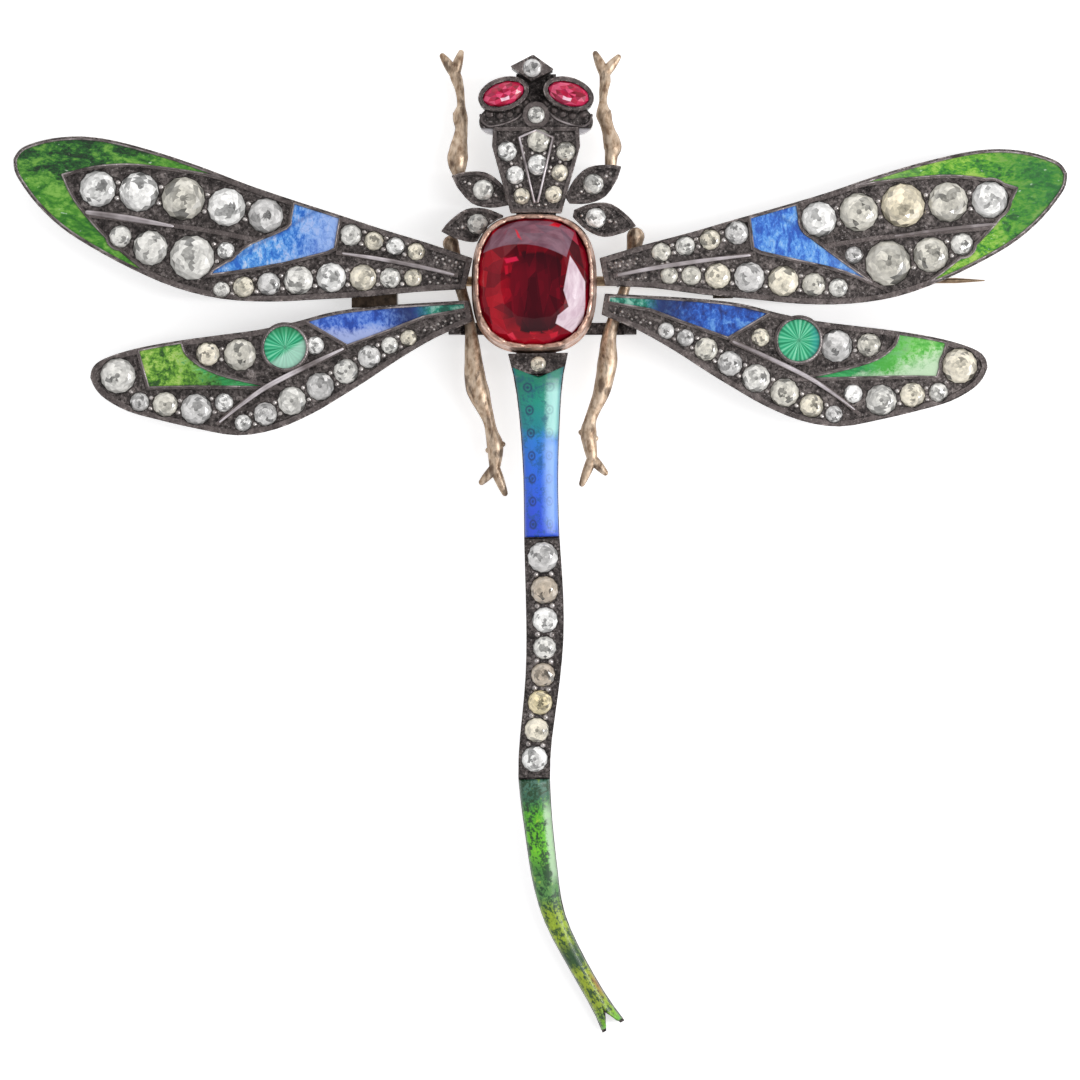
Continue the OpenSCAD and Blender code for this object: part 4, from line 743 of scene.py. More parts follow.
def stone_field(node, seed):
    """Every stone of a node as an old cut: one cut, scaled to each girdle and turned by chance. The facet
    tones are painted reflections: facets near one of a few chance spots share its tone, as if they threw
    back the same thing, the outermost band is darker with painted shade, some stones show a painted dark
    culet, one side is a little brighter with painted light, and each stone has its tint."""
    rng = np.random.default_rng(seed)
    spots = solids_of(node)
    cut, faces, band, angle = cut_rings(12, OLD_CUT)
    n, m = len(spots), len(faces)
    turn = rng.uniform(0, 2 * np.pi, n)[:, None]
    x, y = rotated(cut[None, :, 0], cut[None, :, 1], turn)
    tilt = rng.normal(0, 0.03, (n, 2))
    crown = cut[None, :, 2] > 0.1
    z = cut[None, :, 2] + tilt[:, :1] * x * crown + tilt[:, 1:] * y * crown
    points = spots[:, None, :3] + spots[:, None, 3:] * rows_of(x, y, z)
    # Painted reflections: chance spots whose tones the facets near them take.
    seeds = rng.uniform(-0.95, 0.95, (n, 30, 2))
    levels = rng.choice([0.42, 0.6, 0.8, 0.94, 1.04, 1.12], (n, 30), p=[0.1, 0.13, 0.18, 0.22, 0.21, 0.16])
    face_at = cut[faces].mean(1)[:, :2]
    nearest = np.linalg.norm(face_at[None, :, None] - seeds[:, None], axis=-1).argmin(-1)
    tone = np.take_along_axis(levels, nearest, 1) + rng.normal(0, 0.06, (n, m))
    # Painted shade: the pavilion, girdle and edge of the crown darker.
    tone = tone * np.select([band <= 1, band == 2], [0.4, 0.86], 1.0)[None, :]
    # Painted dark culet, seen through the table of some stones.
    tone = np.where((band[None, :] == band.max()) & (rng.random((n, 1)) < 0.6), 0.55, tone)
    # Painted light: one side of each stone a little brighter.
    side = np.cos(angle[None, :] + turn - 2.2) * 0.07
    tone = np.clip(tone + side, 0.25, 1.16)
    tints = np.array([CREAM, WHITE, (232, 230, 224), (224, 220, 208), GREY])[rng.integers(0, 5, n)]
    for px, py, tint in TINTED:
        far = np.hypot(spots[:, 0] - BODY[0] - px, spots[:, 1] - BODY[1] - py)
        if far.min() < 0.8:
            tints[far.argmin()] = tint
    tints = np.array([srgb(*t) for t in tints])
    colours = (tone[..., None] ** 1.5) * tints[:, None, :]
    put(node + "_cut", points.reshape(-1, 3), repeated([faces], n, len(cut)), clear_stone, "white_stone",
        (node,),
        colours=colours.reshape(-1, 3))
    return spots


def cushion(a, b, angle):
    """Point of a squared oval at each angle: the radius that makes the two shares' powers sum to one."""
    r = ((np.abs(np.cos(angle)) / a) ** SQUARED + (np.abs(np.sin(angle)) / b) ** SQUARED) ** (-1 / SQUARED)
    return rows_of(r * np.cos(angle), r * np.sin(angle))


def red_stone():
    """The centre stone: a cushion cut in rings of facets, deep red, with painted brighter flashes at the
    left and at the foot. The painted light of what shows through the table is in the finish."""
    rings = [(0, -3.9), (0.62, -2.15), (1, -0.38), (1, 0), (0.9, 0.55), (0.76, 1.1), (0.6, 1.48),
             (0.3, 1.5), (0, 1.502)]
    cut, faces, band, _ = cut_rings(14, rings)
    share = np.hypot(cut[:, 0], cut[:, 1])[:, None]
    flat = cushion(*STONE_HALF, np.arctan2(cut[:, 1], cut[:, 0])) * share
    points = np.concatenate([flat, cut[:, 2:] + GIRDLE], 1)
    middle = points[faces].mean(1)[:, :2] / STONE_HALF
    points[:, :2] += BODY
    pick = np.random.default_rng(5).random(len(faces))[:, None]
    tones = (96, 6, 24), (136, 8, 30), (170, 12, 36), (200, 22, 46), (206, 50, 78)
    deep, blood, red, flash, pink = (np.array(srgb(*tone)) for tone in tones)
    x, y = middle[:, :1], middle[:, 1:]
    # Painted flashes: brighter facet tones at the left, at the foot and at the head end, and a few pink
    # ones.
    colours = np.where(pick < 0.35, deep, np.where(pick < 0.8, blood, red))
    colours = np.where(x < -0.5, np.where(pick < 0.2, blood, np.where(pick < 0.6, red, flash)), colours)
    colours = np.where((y < -0.6) & (x < 0.4),
                       np.where(pick < 0.35, blood, np.where(pick < 0.7, red, flash)), colours)
    colours = np.where((y > 0.72) & (x > 0.1) & (x < 0.62) & (band[:, None] == 3), flash, colours)
    colours = np.where((band[:, None] == 3) & (pick > 0.9), pink, colours)
    put("centre_stone_cut", points, [faces], ruby, "red_stone", ("centre_stone",), colours=colours)


def eye_stone(side):
    """An eye: an oval cut in rings, pink-red facets with one painted pale flash near its lower edge."""
    rings = [(0, -2.1), (0.6, -1.3), (1, -0.3), (1, 0.0), (0.85, 0.3), (0.62, 0.5), (0.36, 0.58), (0, 0.6)]
    cut, faces, band, angle = cut_rings(10, rings)
    x, y = rotated(cut[:, 0] * EYE_HALF[0], cut[:, 1] * EYE_HALF[1], math.radians(EYE_SLANT * side))
    across, along, height = EYE_AT
    points = rows_of(BODY[0] + HEAD_X + side * across + x, BODY[1] + along + y, cut[:, 2] + height)
    pick = np.random.default_rng(21 + side).random(len(faces))
    tones = (140, 12, 42), (188, 24, 66), (212, 42, 88), (232, 84, 124), (172, 40, 76)
    colours = np.array([srgb(*tone) for tone in tones])[(pick * len(tones)).astype(int)]
    deg = np.degrees(angle) % 360
    # Painted highlight: pale facets near the lower edge.
    colours[(band == 5) & (deg > 235) & (deg < 300)] = srgb(250, 206, 222)
    colours[band <= 2] = srgb(70, 16, 34)
    name = SIDES[side]
    put("eye_cut_" + name, points, [faces], pink_stone, "pink_stone", ("eye_" + name,), colours=colours)


# Silver detail
def grains(name, spots):
    """Small domes. Columns of a spot: across, along, height of its foot, radius. Each is a cap of rings
    whose radius and height follow a quarter circle, on a short straight foot."""
    spots = np.asarray(spots, float)
    sides, rise = 8, np.radians([0, 32, 62])
    around = np.arange(sides) * 2 * np.pi / sides
    foot, top = -0.8, 0.85
    r = np.concatenate([[1.0], np.cos(rise)])[:, None]
    z = np.concatenate([[foot], np.sin(rise) * top])[:, None]
    unit = rows_of(r * np.cos(around), r * np.sin(around), z).reshape(-1, 3)
    unit = np.concatenate([unit, [[0, 0, foot], [0, 0, top]]])
    points = spots[:, None, :3] + unit[None] * spots[:, None, 3:]
    faces = repeated(rod_faces(len(r), sides), len(spots), len(unit))
    put(name, points.reshape(-1, 3), faces, grain_finish, "silver", rounded=True)


def between(spots, r, reach=0.75):
    """Two grains beside each pair of neighbouring stones: on the line that halves the gap between the
    two girdles, as far out as leaves the grain clear of both stones. Where the gap holds it, one does."""
    x, y, z, s = spots.T
    i, j = np.triu_indices(len(spots), 1)
    d = np.hypot(x[i] - x[j], y[i] - y[j])
    near = d - s[i] - s[j] < reach
    i, j, d = i[near], j[near], d[near]
    ux, uy = (x[j] - x[i]) / d, (y[j] - y[i]) / d
    at = (d + s[i] - s[j]) / 2
    need = (s[i] + r + 0.03) ** 2 - at ** 2
    off = np.sqrt(np.maximum(need, 0))
    px, py, pz = x[i] + ux * at, y[i] + uy * at, (z[i] + z[j]) / 2
    first, second = (rows_of(px - way * uy * off, py + way * ux * off, pz, r) for way in (-1, 1))
    return np.concatenate([first, second[off > 0]])


def clear(spots, others):
    """The spots that touch no stone of the others."""
    d = np.hypot(spots[:, None, 0] - others[None, :, 0], spots[:, None, 1] - others[None, :, 1])
    return spots[(d > spots[:, None, 3] + others[None, :, 3]).all(1)]


def grain_row(wing, start, end, n, r):
    """n grains at even steps on a line between two places of a wing."""
    t = np.linspace(0, 1, n)
    p = wing_point(wing, *(a + (b - a) * t for a, b in zip(start, end)))
    return rows_of(p[:, 0], p[:, 1], FACE, r)


def outline_of(node, level, to):
    """Edges round a node's flat face at a height: sides of the triangles at that height that only one of
    them has. The edges are moved to another height."""
    points, tri = merged(node)
    flat = tri[(np.abs(points[tri][..., 2] - level) < 0.002).all(1)]
    sides = np.sort(np.concatenate([flat[:, [0, 1]], flat[:, [1, 2]], flat[:, [2, 0]]]), 1)
    sides, count = np.unique(sides, axis=0, return_counts=True)
    ends = points[sides[count == 1]]
    ends[..., 2] = to
    return ends


def wires(name, ends, radius, finish):
    """Round wire along every edge of a list, all of them level: a rod of rings from end to end, rounded a
    little past both."""
    ends = ends[np.linalg.norm(ends[:, 1] - ends[:, 0], axis=1) > 1e-4]
    a, b = ends[:, 0], ends[:, 1]
    ahead = (b - a) / np.linalg.norm(b - a, axis=1)[:, None]
    sides = 8
    across = np.cross(ahead, [0, 0, 1.0])
    across /= np.linalg.norm(across, axis=1)[:, None]
    rise = np.cross(across, ahead)
    t = np.arange(sides) * 2 * np.pi / sides
    ring = np.cos(t)[None, :, None] * across[:, None] + np.sin(t)[None, :, None] * rise[:, None]
    rows = [(a - ahead * radius * 0.75, 0.5), (a, 1.0), (b, 1.0), (b + ahead * radius * 0.75, 0.5)]
    grid = np.stack([c[:, None, :] + ring * radius * k for c, k in rows], 1)
    tips = np.stack([a - ahead * radius, b + ahead * radius], 1)
    points = np.concatenate([grid.reshape(len(a), -1, 3), tips], 1)
    faces = repeated(rod_faces(len(rows), sides), *points.shape[:2])
    put(name, points.reshape(-1, 3), faces, finish, "silver", rounded=True)


def chain(rows):
    """Edges between each point of a path and the next."""
    rows = np.asarray(rows, float)
    return np.stack([rows[:-1], rows[1:]], 1)


def collet():
    """The scalloped collet: one rounded section carried round the cushion outline, its lip lower at each
    notch and folded further over the stone between the notches."""
    steps = SCALLOPS * 16
    t = np.linspace(0, 2 * np.pi, steps, endpoint=False)
    notch = np.abs(np.cos(t * SCALLOPS / 2)) ** 18
    fold = 0.03 + 0.05 * (1 - notch)
    top = COLLET_TOP - 0.16 * notch
    wall, foot = COLLET_WALL, COLLET_WALL + 0.12
    rows = [(foot, PLATE), (foot, PLATE + 0.5), (wall - 0.02, PLATE + 0.75), (wall - 0.04, 6.4),
            (wall - 0.1, top - 1.0), (0.33 - 0.04 * notch, top - 0.36), (0.27 - 0.05 * notch, top - 0.12),
            (0.16 - 0.03 * notch, top), (0.04 - fold * 0.5, top - 0.02), (-fold, top - 0.12),
            (-fold * 0.8, top - 0.19), (0.0, GIRDLE - 0.03), (0.0, LEDGE), (-wall, LEDGE), (-wall, PLATE)]
    a, b = COLLET_HALF
    grid = np.stack([rows_of(*cushion(a + out, b + out, t).T, z) for out, z in rows])
    grid[..., :2] += BODY
    faces = sheet_faces(len(rows), steps, wrap_rows=True, wrap_cols=True)
    put("collet_scalloped", grid.reshape(-1, 3), [faces], rose_gold, "collet_gold", ("centre_collet",),
        rounded=True)


# Legs
# Columns: place along the leg, sideways place, thickness, as in the part's solids
FRONT_LEGS = {
    -1: [(0, 0, 0.55), (0.12, 0.01, 0.95), (0.25, -0.002, 0.8), (0.39, -0.022, 0.58), (0.5, -0.012, 0.7),
         (0.6, -0.02, 0.38), (0.72, -0.008, 0.42), (0.8, 0.012, 0.52), (0.87, 0.036, 0.52)],
    1: [(0, 0.005, 0.5), (0.15, 0.012, 0.6), (0.25, 0.024, 0.82), (0.41, -0.02, 0.6), (0.52, -0.05, 0.7),
        (0.62, -0.056, 0.38), (0.72, -0.05, 0.42), (0.8, -0.038, 0.52), (0.87, -0.042, 0.52)],
}
REAR_LEGS = {
    -1: [(0, 0.078, 0.75), (0.18, 0.038, 0.55), (0.28, 0.01, 0.5), (0.38, -0.008, 0.58), (0.57, -0.025, 1),
         (0.645, -0.045, 0.96), (0.74, -0.08, 0.58), (0.8, -0.095, 0.6), (0.86, -0.11, 0.76),
         (0.95, -0.108, 0.5)],
    1: [(-0.03, 0.154, 0.85), (0.06, 0.14, 0.58), (0.2, 0.105, 0.5), (0.38, 0.045, 0.66), (0.5, 0.035, 0.9),
        (0.62, 0.012, 0.8), (0.7, -0.02, 0.58), (0.75, -0.038, 0.58), (0.81, -0.045, 0.76),
        (0.91, -0.03, 0.48)],
}


def limb(path, radius, sides, flat):
    """A closed rod: circles of the given radii on planes square to the path, each end closed by rings
    that shrink like a dome. flat squashes the circles in height."""
    path = np.asarray(path, float)
    ahead = np.gradient(path, axis=0)
    ahead /= np.linalg.norm(ahead, axis=1)[:, None]
    up = np.array([0, 0, 1.0])
    across = np.cross(ahead, up)
    across /= np.linalg.norm(across, axis=1)[:, None]
    rise = np.cross(across, ahead)
    ends = np.radians([8, 35, 65])
    first, last = ([(path[k] + way * ahead[k] * radius[k] * math.cos(e), radius[k] * math.sin(e), across[k],
                     rise[k])
                    for e in ends[::-way]] for k, way in ((0, -1), (-1, 1)))
    rows = first + list(zip(path, radius, across, rise)) + last
    c, r, a, b = (np.array([row[i] for row in rows]) for i in range(4))
    t = np.arange(sides) * 2 * np.pi / sides
    ring = np.cos(t)[None, :, None] * a[:, None, :] + flat * np.sin(t)[None, :, None] * b[:, None, :]
    points = (c[:, None, :] + ring * r[:, None, None]).reshape(-1, 3)
    points = np.concatenate([points, [c[0] - ahead[0] * 0.001, c[-1] + ahead[-1] * 0.001]])
    return points, rod_faces(len(rows), sides)


def leg(name, table, sizes, side, way, knee, toes):
    """A leg: one flattened rod through the table's rows, two short spurs at the row of its knee and two
    toes that stay broad and then run to a blunt point. sizes are its length and the place of its root,
    toes the angle and size of each toe."""
    length, root_x, root_y = sizes
    rows = smooth(table, STEPS)
    drop = 1.4 * rows[:, 0] ** 2 if way > 0 else 0 * rows[:, 0]
    z = PLATE - 0.06 - LEG_T * 0.32 - drop
    path = rows_of(BODY[0] + side * (root_x + rows[:, 1] * length),
                   BODY[1] + root_y + way * rows[:, 0] * length, z)
    wobble = 1 + 0.03 * np.sin(rows[:, 0] * 47) * np.sin(rows[:, 0] * 19 + side)
    radius = rows[:, 2] * LEG_T / 2 * wobble
    parts = [limb(path, radius, 20, 0.72)]

    def twig(at, angle, size, thick):
        """A short rod that leaves the leg at a row of its path and thins towards its point."""
        a, share, thin = math.radians(angle), np.linspace(0, 1, 7), 0.14 * LEG_T
        reach = share * TOE * size
        p = path[at] + rows_of(side * reach * math.cos(a), reach * math.sin(a), 0)
        parts.append(limb(p, thin + (thick - thin) * (1 - share ** 2.2), 14, 0.7))

    k = knee * STEPS
    for angle in (26, 200):
        twig(k, way * angle, 0.26 if way > 0 else 0.4, radius[k] * 0.6)
    for angle, size in toes:
        twig(-1, angle, size, radius[-1])
    put(name + "_chased", *joined(parts), rough_gold, "leg_gold", (name,), rounded=True)


# Tail
# Columns: place along the tail, sideways place, width, as in the part's solids
TAIL = smooth([(0, 0.048, 1), (0.04, 0.055, 0.8), (0.1, 0.07, 0.665), (0.18, 0.082, 0.58),
               (0.27, 0.095, 0.59),
               (0.35, 0.128, 0.628), (0.42, 0.135, 0.62), (0.49, 0.1, 0.57), (0.57, 0.02, 0.535),
               (0.63, 0, 0.53),
               (0.7, 0.055, 0.48), (0.77, 0.13, 0.45), (0.83, 0.235, 0.375), (0.89, 0.47, 0.32),
               (0.945, 0.73, 0.31),
               (0.975, 0.88, 0.34), (1, 1, 0.42)], STEPS)


def tail_frame(t):
    """Middle, sideways direction, half width and floor height of the tail at each place t along it."""
    def middle(q):
        sway = np.interp(q, TAIL[:, 0], TAIL[:, 1]) * TAIL_SWAY
        return rows_of(BODY[0] + sway, BODY[1] + TAIL_Y - q * TAIL_L)

    ahead = middle(np.minimum(t + 0.01, 1)) - middle(np.maximum(t - 0.01, 0))
    ahead /= np.linalg.norm(ahead, axis=-1)[..., None]
    across = rows_of(-ahead[..., 1], ahead[..., 0])
    return middle(t), across, np.interp(t, TAIL[:, 0], TAIL[:, 2]) * TAIL_W / 2, PLATE * (1 - t * t)


def tail_skin(name, node, start, end, finish, slot, horns=0.0, fork=False):
    """Enamel on the tail: a dome of one height across, carried along the tail, closed below. Horns draw
    its first edge out into a V towards the body, and a fork lets its last edge run back to the middle."""
    s = np.sin(np.linspace(-np.pi / 2, np.pi / 2, 25))
    t = np.linspace(0, 1, 90)[:, None] * np.ones_like(s)
    begin = start - horns / TAIL_L * np.abs(s) ** 1.2
    stop = end - (FORK / TAIL_L * np.clip(1 - np.abs(s) / 0.55, 0, 1) if fork else 0)
    place = begin + (stop - begin) * t
    c, n, w, floor = tail_frame(np.maximum(place, 0.004))
    p = c + n * (0.965 * w * s)[..., None]
    edge = np.clip(np.minimum(t, 1 - t) / 0.012, 0, 1) ** 0.5
    z = floor + TAIL_T + 0.05 + TAIL_DOME * (1 - s ** 2) ** 0.5 * (0.75 + 0.25 * edge)
    over = np.clip((start - place) * TAIL_L / 0.25, 0, 1) if horns else 0
    z = z + over * (floor + TAIL_T + TAIL_DOME + 0.06 - z)
    top = rows_of(p[..., 0], p[..., 1], z)
    low = rows_of(p[..., 0], p[..., 1], np.minimum(floor + TAIL_T + 0.03, z - 0.02))
    rows, cols = t.shape
    faces = sheet_faces(rows, cols)
    under = faces[:, ::-1] + rows * cols
    rim = np.concatenate([np.arange(cols), np.arange(1, rows) * cols + cols - 1,
                          (rows - 1) * cols + np.arange(cols - 2, -1, -1),
                          np.arange(rows - 2, 0, -1) * cols])
    nxt = np.roll(rim, -1)
    wall = np.stack([rim, nxt, nxt + rows * cols, rim + rows * cols], -1)
    places = rows_of((s + 1) / 2, (place - start) / (end - start)).reshape(-1, 2)
    points = np.concatenate([top.reshape(-1, 3), low.reshape(-1, 3)])
    put(name, points, [np.concatenate([faces, under, wall[:, ::-1]])], finish, slot, (node,), rounded=True,
        places=np.concatenate([places, places]))


# The making
wing_silver = dark_silver("oxidised_silver_wing", FACE + 0.05, 1.15)
body_silver = dark_silver("oxidised_silver_body", None)
neck_silver = dark_silver("oxidised_silver_neck", 5.98)
# The head's silver gets a painted pale highlight below its collar.
head_silver = dark_silver("oxidised_silver_head", 5.82, 0.9, BODY[1] + 13.95)
leaf_silver = dark_silver("oxidised_silver_leaf", 5.4)
grain_finish = rubbed_silver("bright_silver_grain", 0.9, 0.28, (2.5, 3), 9, 0.2,
                             (0.36, (134, 126, 123)), (0.6, (222, 216, 213)))
edge_finish = dark_silver("oxidised_silver_edge", None, 1.9)
rough_gold = leg_gold()
rose_gold = collet_gold("rose_gold_collet", (232, 196, 178), (186, 142, 122))
fitting_gold = collet_gold("low_gold_fitting", (190, 164, 134), (130, 108, 88))
fitting_dark = collet_gold("dark_low_gold_fitting", (104, 88, 74), (52, 44, 38))
clear_stone = facets("old_cut_stone", Roughness=0.05, IOR=2.0)
ruby = red_facets()
wire_finish = rubbed_silver("rubbed_silver_wire", 0.8, 0.32, (0.55, 4, 0.6), 6, 0.2,
                            (0.36, (84, 77, 76)), (0.52, (142, 133, 132)), (0.68, (190, 180, 180)))
vein_finish = rubbed_silver("burnished_silver_vein", 0.75, 0.36, (0.3, 3, 0.5), 5, 0.15,
                            (0.36, (128, 119, 118)), (0.5, (190, 181, 183)), (0.64, (232, 224, 228)))
pink_stone = facets("pink_eye_stone", Roughness=0.05, IOR=1.76, Specular_IOR_Level=0.3)


def dress(material, *names):
    """Gives the named solids one material."""
    for n in names:
        nodes[n].data.materials.clear()
        nodes[n].data.materials.append(material)


LEAVES = ("leaf_upper_left", "leaf_upper_right", "leaf_lower_left", "leaf_lower_right")
dress(wing_silver, *("wing_" + wing for wing in WINGS))
dress(body_silver, "tail", "back_frame")
dress(neck_silver, "neck")
dress(head_silver, "head_setting", "crown_setting")
dress(leaf_silver, *LEAVES)
dress(fitting_gold, "pin_stem")
dress(fitting_dark, "hinge_block", "catch")
ENAMELS = {"tip": (tip_green, "upper_"), "blue": (sky_blue, "upper_"), "root": (royal_blue, "lower_"),
           "leaf": (leaf_green, "lower_"), "disc": (disc_green, "lower_")}
for key, (enamelled, pair) in ENAMELS.items():
    for side, name in SIDES.items():
        dress(enamelled(pair + name, side < 0), key + "_enamel_" + name)

STONES = ["stones_" + wing for wing in WINGS]
STONES += ["neck_stones", "leaf_stones", "tail_stones", "head_stone", "crown_stone"]
stones = {node: stone_field(node, seed) for seed, node in enumerate(STONES, 40)}
red_stone()
for side in SIDES:
    eye_stone(side)
collet()

# Rows of grains at the wings' roots. Columns: first and last place on the wing, number, radius
ROOT_GRAINS = {
    "upper": [((0.015, 0.03), (0.075, 0.03), 5, 0.16), ((0.02, 0.0), (0.07, -0.005), 4, 0.15),
              ((0.02, -0.11), (0.085, -0.13), 5, 0.16), ((0.025, -0.15), (0.075, -0.17), 4, 0.15)],
    "lower": [((0.03, -0.07), (0.125, -0.15), 6, 0.15), ((0.03, -0.11), (0.1, -0.16), 4, 0.13)],
}
for wing in WINGS:
    spots, pair = stones["stones_" + wing], wing.split("_")[0]
    rows = [grain_row(wing, *row) for row in ROOT_GRAINS[pair]]
    rows.insert(0, between(spots, 0.26 if pair == "upper" else 0.24))
    grains("grains_" + wing, clear(np.concatenate(rows), spots))
# Grains round the neck's shield, by radius: places across and along from the centre stone
NECK_GRAINS = {0.17: [(-1.45, 7.25), (-0.85, 7.05), (-0.25, 7.0), (0.4, 7.0), (1.0, 7.05), (1.6, 7.25)],
               0.16: [(-1.1, 12.95), (1.15, 12.95), (-0.95, 11.7), (1.0, 11.7), (-0.5, 9.2), (0.55, 9.2)]}
rows = [(BODY[0] + x, BODY[1] + y, NECK_TOP, r) for r, places in NECK_GRAINS.items() for x, y in places]
spots = stones["neck_stones"]
grains("grains_neck", clear(np.concatenate([between(spots, 0.18, 1.2), rows]), spots))
# Three grains on the line of each leaf: two beyond its stone, one before it. Slants: upper ones, lower ones
LEAF_SLANTS = {-1: (24, -11.4), 1: (32, -11.4)}
leaf_grains = []
for x, y, _, r in stones["leaf_stones"]:
    side = 1 if x > BODY[0] else -1
    turn = math.radians(LEAF_SLANTS[side][0 if y > BODY[1] + 7.5 else 1])
    leaf_grains += [(x + side * d * math.cos(turn), y + d * math.sin(turn), LEAF_TOP, q)
                    for d, q in ((r + 0.42, 0.22), (r + 0.88, 0.16), (-r - 0.34, 0.18))]
grains("grains_leaf", leaf_grains)
grains("grains_tail", between(stones["tail_stones"], 0.27))

for wing in WINGS:
    rim = outline_of("wing_" + wing, PLATE, FACE + 0.2)
    part, side = wing.split("_")
    fields = ("tip_enamel_", "blue_enamel_") if part == "upper" else ("root_enamel_", "leaf_enamel_")
    cells = [outline_of(f + side, FACE + 0.16, FACE + 0.24) for f in fields]
    wires("edge_wire_" + wing, rim, 0.08, edge_finish)
    wires("cell_wire_" + wing, np.concatenate(cells), 0.085, wire_finish)
    if part == "lower":
        x, y = wing_point(wing, *DISC[wing])
        turn = np.linspace(0, 2 * np.pi, 49)
        ring = rows_of(x + DISC_WALL * np.cos(turn), y + DISC_WALL * np.sin(turn), FACE + 0.33)
        wires("disc_wire_" + wing, chain(ring), 0.13, wire_finish)
# Veins. Columns: shares along and across the wing, radius
VEINS = {
    "upper_left": [
        [(0.822, -0.257, 0.2), (0.77, -0.238, 0.27), (0.715, -0.2225, 0.27), (0.638, -0.208, 0.12)],
        [(0.27, -0.108, 0.07), (0.2, -0.086, 0.17), (0.1, -0.07, 0.17), (0.03, -0.07, 0.1)]],
    "upper_right": [
        [(0.83, -0.258, 0.12), (0.76, -0.232, 0.18), (0.69, -0.212, 0.16), (0.62, -0.195, 0.06)],
        [(0.31, -0.12, 0.1), (0.2, -0.086, 0.19), (0.1, -0.07, 0.19), (0.03, -0.07, 0.12)]],
    "lower_left": [
        [(0.343, -0.195, 0.1), (0.45, -0.305, 0.22), (0.55, -0.42, 0.23), (0.62, -0.54, 0.17),
         (0.69, -0.68, 0.07)]],
    "lower_right": [
        [(0.345, -0.2, 0.1), (0.45, -0.305, 0.19), (0.55, -0.42, 0.2), (0.62, -0.535, 0.14),
         (0.68, -0.65, 0.06)]],
}
for wing, veins in VEINS.items():
    lines = []
    for rows in veins:
        u, v, radius = smooth(rows, STEPS).T
        lines.append(limb(rows_of(*wing_point(wing, u, v).T, FACE + 0.34), radius, 12, 0.5))
    put("vein_wire_" + wing, *joined(lines), vein_finish, "silver", rounded=True)
# Edge of the collar under each eye: places across from the head's middle and along from the centre stone
COLLAR_EDGE = smooth([(1.3, 15.2), (1.77, 14.8), (2.5, 14.45), (3.5, 14.15), (4.3, 14.12), (4.8, 14.5),
                      (5.0, 15.1)], 6)
for side, name in SIDES.items():
    edge = rows_of(BODY[0] + HEAD_X + side * COLLAR_EDGE[:, 0], BODY[1] + COLLAR_EDGE[:, 1], COLLAR_TOP)
    wires("collar_edge_wire_" + name, chain(edge), 0.12, wire_finish)
# The shield on the neck, a V of two thin wires that opens towards the head and closes in a low point
SHIELD = [(-0.16, 0.9), (-1.5, 6.7), (0.0, 7.37), (1.5, 6.7), (0.16, 0.9)]
shield = np.array([(BODY[0] + HEAD_X + x, BODY[1] + NECK_FOOT + y, SHIELD_TOP) for x, y in SHIELD])
wires("neck_shield_wire", chain(shield), 0.1, vein_finish)
# Settings whose edges are rubbed. Columns: name, height of the flat face that gives the edge, wire's height
RUBBED = [(leaf, PLATE, 5.52) for leaf in LEAVES]
RUBBED += [("neck", PLATE, 6.1), ("head_setting", 7.0, 6.98), ("crown_setting", 7.3, 7.28)]
for node, low, high in RUBBED:
    wires(node + "_edge_wire", outline_of(node, low, high), 0.07, edge_finish)
FRONT_TOES = {-1: ((55, 1.1), (107, 1.12)), 1: ((50, 1.1), (115, 1.12))}
for side, name in SIDES.items():
    leg("leg_front_" + name, FRONT_LEGS[side], FRONT_LEG, side, 1, 4, FRONT_TOES[side])
for side, name in SIDES.items():
    leg("leg_rear_" + name, REAR_LEGS[side], REAR_LEG, side, -1, 8, ((-47, 1.0), (-112, 1.4)))
tail_skin("tail_blue_skin", "tail_enamel_blue", 0.035, 0.2705, tail_blue(), "royal_blue_enamel", horns=0.9)
tail_skin("tail_green_skin", "tail_enamel_green", 0.6295, 0.996, tail_green(), "lime_enamel", fork=True)


# Floor, light and camera. The picture's width is that of the photo at the height of the wings' face.
CAMERA, PICTURE = (-0.027, 0.288, 450), 97.2
# Lamps, all aimed at the origin. Columns: name, place and size in metres, power
LAMPS = [("softbox_right", (0.4, -0.1, 0.3), (0.3, 0.4), 0.6),
         ("strip_right", (0.29, 0.0, 0.36), (0.035, 0.42), 0.55),
         ("softbox_head", (-0.05, 0.55, 0.42), (0.9, 0.5), 0.6)]


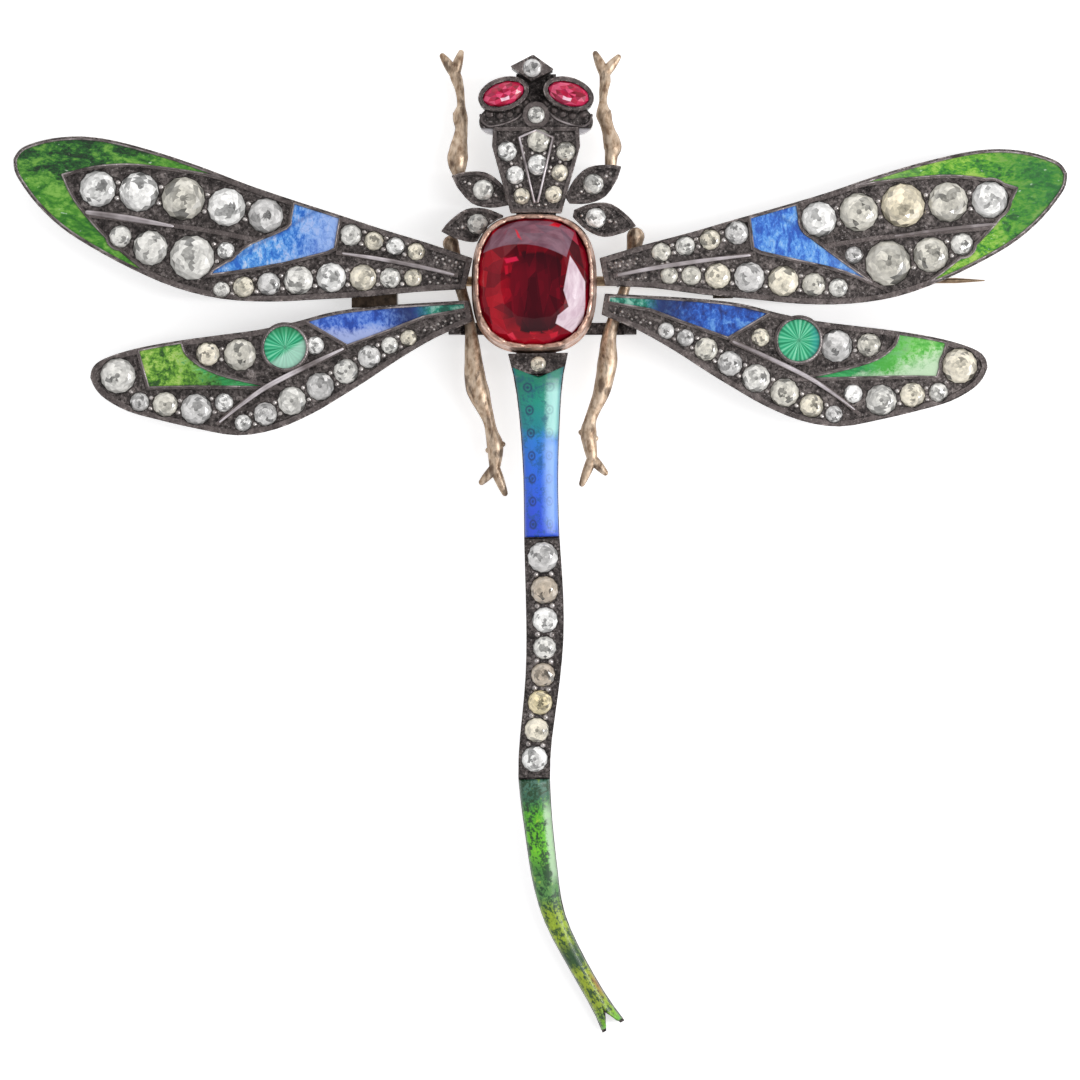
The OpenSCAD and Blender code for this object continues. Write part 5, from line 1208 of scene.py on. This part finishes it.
def stage():
    """A pale floor under the brooch, soft lights and the camera straight above."""
    bpy.ops.mesh.primitive_plane_add(size=6, location=(0, 0, 0))
    floor = bpy.context.object
    floor.name = "floor"
    paper = Finish("pale_paper_floor", Roughness=0.9, Emission_Color=(1, 1, 1, 1), Emission_Strength=0.55)
    tone = paper.ramp(paper.noise(paper.place(), 0.02, 2), (0.3, 0.86), (0.7, 0.9))
    floor.data.materials.append(paper.use(tone))
    world = bpy.data.worlds.new("soft_studio")
    bpy.context.scene.world = world
    world.use_nodes = True
    tree = world.node_tree
    sky = tree.nodes.new("ShaderNodeTexCoord")
    parts = tree.nodes.new("ShaderNodeSeparateXYZ")
    ramp = tree.nodes.new("ShaderNodeValToRGB")
    tree.links.new(sky.outputs["Generated"], parts.inputs[0])
    tree.links.new(parts.outputs["Z"], ramp.inputs["Fac"])
    tree.links.new(ramp.outputs["Color"], tree.nodes["Background"].inputs["Color"])
    # Brightness by how far up a direction points, from level (0) to straight up (1)
    stops = [(0.0, 0.55), (0.35, 0.8), (0.72, 1.0), (0.94, 0.9), (0.985, 0.35)]
    for k, (at, value) in enumerate(stops):
        part = ramp.color_ramp.elements[k] if k < 2 else ramp.color_ramp.elements.new(at)
        part.position = at
        part.color = (value, value, value * 1.01, 1)
    tree.nodes["Background"].inputs["Strength"].default_value = 0.7
    for name, place, size, power in LAMPS:
        lamp = bpy.data.lights.new(name, "AREA")
        lamp.shape, lamp.size, lamp.size_y, lamp.energy = "RECTANGLE", *size, power
        x, y, z = place
        tilt, turn = math.atan2(math.hypot(x, y), z), math.atan2(-x, y) + math.pi
        linked(name, lamp, place).rotation_euler = (tilt, 0, turn)
    lens = bpy.data.cameras.new("camera_above")
    lens.sensor_width, lens.lens = 36, 36 * (CAMERA[2] - FACE) / PICTURE
    lens.clip_start, lens.clip_end = 0.01, 5
    bpy.context.scene.camera = linked("camera_above", lens, [c * MM for c in CAMERA])
    bpy.context.scene.view_settings.view_transform = "Standard"


stage()
